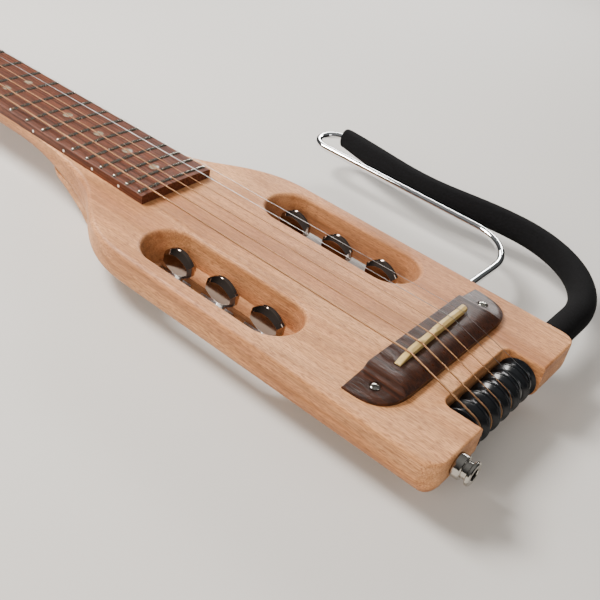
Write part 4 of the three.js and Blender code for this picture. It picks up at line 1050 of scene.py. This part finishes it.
def makeJack():
    # a barrel in the wood, a collar, a narrower neck for a strap and the outer flange, with the plug's hole
    s = jackSizes
    tail = bodySizes["tailX"]
    wide, chamfer = s["collar"], s["chamfer"]
    edgeIn, edgeOut = s["collarEdge"]
    seat = tail - s["gap"]
    collar = tail - s["lengths"][0]
    neck = collar - s["lengths"][1]
    outer = neck - s["lengths"][2]
    profile = [[nearAxis, s["barrelEnd"]], [s["barrel"], s["barrelEnd"]], [s["barrel"], seat],
               [wide - edgeIn, seat], [wide, seat - edgeOut], [wide, collar + chamfer],
               [wide - chamfer, collar], [s["neck"], collar], [s["neck"], neck], [wide - chamfer, neck],
               [wide, neck - chamfer], [wide, outer + chamfer],
               [wide - chamfer, outer], [s["hole"] + s["mouth"], outer], [s["hole"], outer + s["mouth"]],
               [s["hole"], s["holeEnd"]], [nearAxis, s["holeEnd"]]]
    return turned("end-jack", profile, "x", (0, jackPlace["y"], -jackPlace["depth"]), nickel, 96)


def makeRoller(number):
    # two round-edged lips with a groove between them, and a hub at both sides. The outer lips of the two end
    # rollers are narrower, to clear the rounded corners of the notch.
    s = rollerSizes
    groove = stringSizes["rollerRadius"] - stringSizes["diameters"][number - 1] / 2 - stringSizes["gap"]
    turn = quarter(6)
    wall = [[groove + rise, s["grooveHalf"] - inset] for rise, inset in s["wall"]]
    wall.append([groove, s["floorHalf"]])
    hub, hubHalf = s["hub"]
    webOuter, webInner = s["webStep"]

    def side(half):
        rim = np.stack([s["lip"] - s["chamfer"] + s["chamfer"] * np.sin(turn),
                        half - s["chamfer"] + s["chamfer"] * np.cos(turn)], 1)
        web = half - s["web"]
        return np.vstack([[[s["bore"], hubHalf], [hub, hubHalf], [hub, web], [s["lip"] - webOuter, web],
                           [s["lip"] - webInner, half]], rim, wall])

    bassSide = side(s["endHalf"] if number == 6 else s["half"])
    trebleSide = side(s["endHalf"] if number == 1 else s["half"])
    profile = np.vstack([bassSide, (trebleSide * [1, -1])[::-1]])
    centre = (rollerPlace["x"], float(saddleY(number)), -rollerPlace["depth"])
    return turned(f"string-roller-{number}", profile, "y", centre, rollerBlack, 96, closed=True)


def barrel(length, height, end):
    # two arcs, above and below, between short upright ends
    x = np.linspace(length, -length, 25)
    arch = end + (height - end) * (1 - (x / length) ** 2)
    return np.stack([np.concatenate([x, x[::-1]]), np.concatenate([arch, -arch[::-1]])])


def makeKey(number):
    # a barrel-shaped button that bevels down to a smaller flat on both faces, on a shaft with its worm
    s = tunerSizes
    side, keyX = tunerPlace(number)[:2]
    length, height = s["half"]
    middle = s["rise"] - height
    reach = s["thickness"] / 2
    face, brim = barrel(*s["face"]), barrel(length, height, s["blunt"])
    rings, across = [], []
    for share, depth in s["bevelShares"]:
        rings.append(mixed(face, brim, share))
        across.append(depth * reach)
    rings = np.array(rings + rings[::-1])
    across = np.array(across + [-depth for depth in across[::-1]])
    x, z = keyX + rings[:, 0], middle + rings[:, 1]
    y = side * s["keyY"] + np.broadcast_to(across[:, None], x.shape)
    button = loft(f"button {number}", np.stack([x, y, z], -1), buttonChrome, 18)
    foot = s["rise"] - 2 * height
    radius, root, pitch, turns = s["worm"]
    collar, collarLength = s["collar"]
    top = foot + s["collarTop"]
    profile = [[nearAxis, top], [collar - s["collarBevel"], top], [collar, foot - s["collarBevel"]],
               [collar, foot - collarLength], [s["shaft"], foot - collarLength], [s["shaft"], s["wormTop"]]]
    for ring in range(turns):
        ringTop = s["wormTop"] - ring * pitch
        profile += [[radius, ringTop - share * pitch] for share in s["crestShares"]]
        profile.append([root, ringTop - pitch])
    profile += [[s["shaft"], s["wormTop"] - turns * pitch], [s["shaft"], s["end"]], [nearAxis, s["end"]]]
    shaft = turned(f"shaft {number}", profile, "z", (keyX, side * s["keyY"], 0), chrome, 36)
    return joinPieces(f"tuner-key-{number}", [button, shaft], 11)


jack = makeJack()
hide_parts("output_jack")
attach(jack, "guitar")
for number in strings:
    roller, key = makeRoller(number), makeKey(number)
    for piece, node, rides, slot in ((roller, f"roller_{number}", f"roller_{number}", "black_roller"),
                                     (key, f"tuner_key_{number}", f"key_{number}", "chrome")):
        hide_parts(node)
        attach(piece, rides)
print("jack, rollers and keys made")


# strings

def nutY(number):
    return (number - middleString) * stringSizes["nutPitch"]


def stringPath(number):
    # ball end, nut, saddle, round the roller's rear on two tangents, forward below the body, round the post
    s = stringSizes
    side, keyX, postX = tunerPlace(number)
    diameter = s["diameters"][number - 1]
    lane, radius = float(saddleY(number)), s["rollerRadius"]
    roller = np.array([rollerPlace["x"], -rollerPlace["depth"]])
    post = np.array([postX, -tunerSizes["postDepth"]])
    wrap = s["postRadius"] + diameter / 2 + s["gap"]
    edge = saddleSizes["x"] - saddleSizes["thickness"] / 2 - lane * math.tan(saddleSizes["angle"])
    crown = np.array([edge, s["saddleHeight"] - float(camberDrop(lane))])
    toRoller = roller - crown
    run = math.sqrt(toRoller @ toRoller - radius ** 2)
    heading = math.atan2(toRoller[1], toRoller[0]) % (2 * math.pi)
    meet = heading - math.atan2(radius, run) - math.pi / 2
    toPost = post - roller
    leaveTurn = math.atan2(toPost[1], toPost[0]) + math.asin((radius + wrap) / np.linalg.norm(toPost))
    leave = leaveTurn + 1.5 * math.pi
    nut = nutY(number)
    crownRun, crownDip = s["crownRun"]
    start = [(s["ballX"], nut, s["ballHeight"]), (scaleLength + s["nutThickness"], nut, s["nutHeight"]),
             (scaleLength, nut, s["nutHeight"]), (crown[0] + crownRun, lane, crown[1]),
             (crown[0], lane, crown[1] - crownDip)]
    turn = np.linspace(meet, leave, 40)
    overRoller = np.column_stack([roller[0] + radius * np.cos(turn), np.full(40, lane),
                                  roller[1] + radius * np.sin(turn)])
    turns = np.linspace(0, s["postTurns"], 33 * s["postTurns"])
    wind = leaveTurn + math.pi / 2 - turns * 2 * math.pi
    windY = lane - side * turns * (diameter + s["turnGap"])
    roundPost = np.column_stack([post[0] + wrap * np.cos(wind), windY, post[1] + wrap * np.sin(wind)])
    return np.vstack([start, overRoller, roundPost])


def makeString(number):
    # a round wire along its path, and a ball end turned from a short tube with small bevels
    s = stringSizes
    finish = bronzeWinding if number > 2 else plainString
    thickness = s["diameters"][number - 1] / 2 * s["thicknessShare"]
    wire = sweep(f"guitar-string-{number}", stringPath(number), thickness, 14, (0, 1, 0), finish)
    radius, length = s["ball"]
    hole, bevel, half = s["ballHole"], s["ballEdge"], length / 2
    profile = [[hole, -half], [radius - bevel, -half], [radius, bevel - half], [radius, half - bevel],
               [radius - bevel, half], [hole, half]]
    centre = (s["ballX"], nutY(number), s["ballHeight"])
    return wire, turned(f"ball-end-{number}", profile, "y", centre, brass, 36, closed=True)


for number in strings:
    wire, ball = makeString(number)
    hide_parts(f"string_{number}")
    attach(wire, "guitar")
    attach(ball, "guitar")
print("strings made")


# lap rest

restSizes = {
    "rod": 2.4, "foam": 8.25, "frontBend": (32.0, -108.5), "far": (168.5, 12.5), "farSweep": 1.0556,
    "wave": (95.0, -154.5), "wavePull": 25.0, "rearPull": 30.0, "rearBend": (25.0, -100.0, 62.0),
    "foamStart": 0.92, "foamEnd": -70.7, "foamRound": 2.2, "foamStep": (4.0, 3.0), "taper": (6.6, 55.0),
    "inner": -49.2, "leastStep": 0.2,
}
socketSizes = {"bore": 2.7, "barrel": 3.5, "flange": (3.0, 3.8, 4.1), "inner": -48.5,
               "faces": (-70.2, -70.4, -70.1, -69.8)}


def restPath():
    # front leg, quarter bend, straight run, far bend, two eased waves, a half oval and the rear leg
    s = restSizes
    legX, rearX = legPlaces["front"], legPlaces["rear"]
    bend, bendY = s["frontBend"]
    frontY = bendY - bend
    farX, farRadius = s["far"]
    centre = (farX, frontY - farRadius)
    start, end = 0.5 - s["foamStart"], 0.5 - s["farSweep"]
    endCos, endSin = math.cos(end * math.pi), math.sin(end * math.pi)
    farEnd = np.array(centre) + farRadius * np.array([endCos, endSin])
    pull = np.array([endSin, -endCos]) * s["wavePull"]
    wave = np.array(s["wave"])
    rearCentreX, rearCentreY, rearHeight = s["rearBend"]
    rearY = rearCentreY - rearHeight
    bare = [np.linspace((legX, s["inner"]), (legX, bendY), 8), arc((legX + bend, bendY), bend, 1, 1.5, 24),
            np.linspace((legX + bend, frontY), (farX, frontY), 12), arc(centre, farRadius, 0.5, start, 26)]
    covered = [arc(centre, farRadius, start, end, 6),
               bezier([farEnd, farEnd + pull, wave + (s["wavePull"], 0), wave], 20),
               bezier([wave, wave - (s["wavePull"], 0), (rearCentreX + s["rearPull"], rearY),
                       (rearCentreX, rearY)], 20),
               arc((rearCentreX, rearCentreY), (rearCentreX - rearX, rearHeight), -0.5, -1, 40),
               np.linspace((rearX, rearCentreY), (rearX, s["foamEnd"]), 8)]
    inside = [np.linspace((rearX, s["foamEnd"]), (rearX, s["inner"]), 5)]

    def level(runs):
        path = np.vstack(runs)
        kept = np.concatenate([[True], np.linalg.norm(np.diff(path, axis=0), axis=1) > s["leastStep"]])
        path = path[kept]
        return np.column_stack([path, np.full(len(path), -restDepth)])

    return level(bare + covered + inside), level(covered)


def makeRest():
    # the chrome rod, and a foam sleeve on its outer run that narrows and rounds off at both ends
    s = restSizes
    rodPath, foamPath = restPath()
    rod = sweep("rest-rod", rodPath, s["rod"], 36, (0, 0, 1), chrome)
    along = runLengths(foamPath)
    total, soft = along[-1], s["foamRound"]
    bare, step = s["foamStep"]
    closing = soft * (1 - np.cos(quarter(8)))
    places = np.unique(np.concatenate([closing, total - closing, np.arange(bare, total - bare, step)]))
    path = np.column_stack([np.interp(places, along, foamPath[:, i]) for i in range(3)])
    thin, grown = s["taper"]
    radius = mixed(thin, s["foam"], smoothStep(places, -grown, grown) * 2 - 1)
    radius = radius - roundDrop(soft, np.minimum(places, total - places))
    return rod, sweep("foam-sleeve", path, radius, 48, (0, 0, 1), foamSkin)


def makeSocket(name, legX):
    # a tube in the wood with a bevelled flange outside
    s = socketSizes
    bore, barrel = s["bore"], s["barrel"]
    mouth, rimStart, rim = s["flange"]
    mouthY, faceY, bevelY, seatY = s["faces"]
    profile = [[bore, mouthY], [mouth, faceY], [rimStart, faceY], [rim, bevelY], [rim, seatY],
               [barrel, seatY], [barrel, s["inner"]], [bore, s["inner"]]]
    return turned(f"leg-socket-{name}", profile, "y", (legX, 0, -restDepth), nickel, 48, closed=True)


rod, foam = makeRest()
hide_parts("lap_rest_rod")
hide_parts("lap_rest_foam")
for piece, slot in ((rod, "chrome"), (foam, "foam")):
    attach(piece, "lap_rest")
for name, legX in legPlaces.items():
    socket = makeSocket(name, legX)
    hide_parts(f"lap_rest_socket_{name}")
    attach(socket, "guitar")
print("lap rest made")


# better finishes on the CAD pieces that stay

keptFinishes = {
    "nut": bone, "string_anchor": steel, "anchor_screw_treble": steel, "anchor_screw_bass": steel,
    "truss_rod": steel, "truss_rod_nut": brass, "pickup_strip": copperBraid, "pickup_lead": insulation,
    "roller_axle": steel,
}
for number in strings:
    keptFinishes[f"tuner_post_{number}"] = brass
    keptFinishes[f"tuner_housing_{number}"] = steel
    keptFinishes[f"tuner_screw_{number}"] = steel
for node, material in keptFinishes.items():
    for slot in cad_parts[node].material_slots:
        slot.material = material

addCamera()
addLights()
addFloor()

print("scene finished")
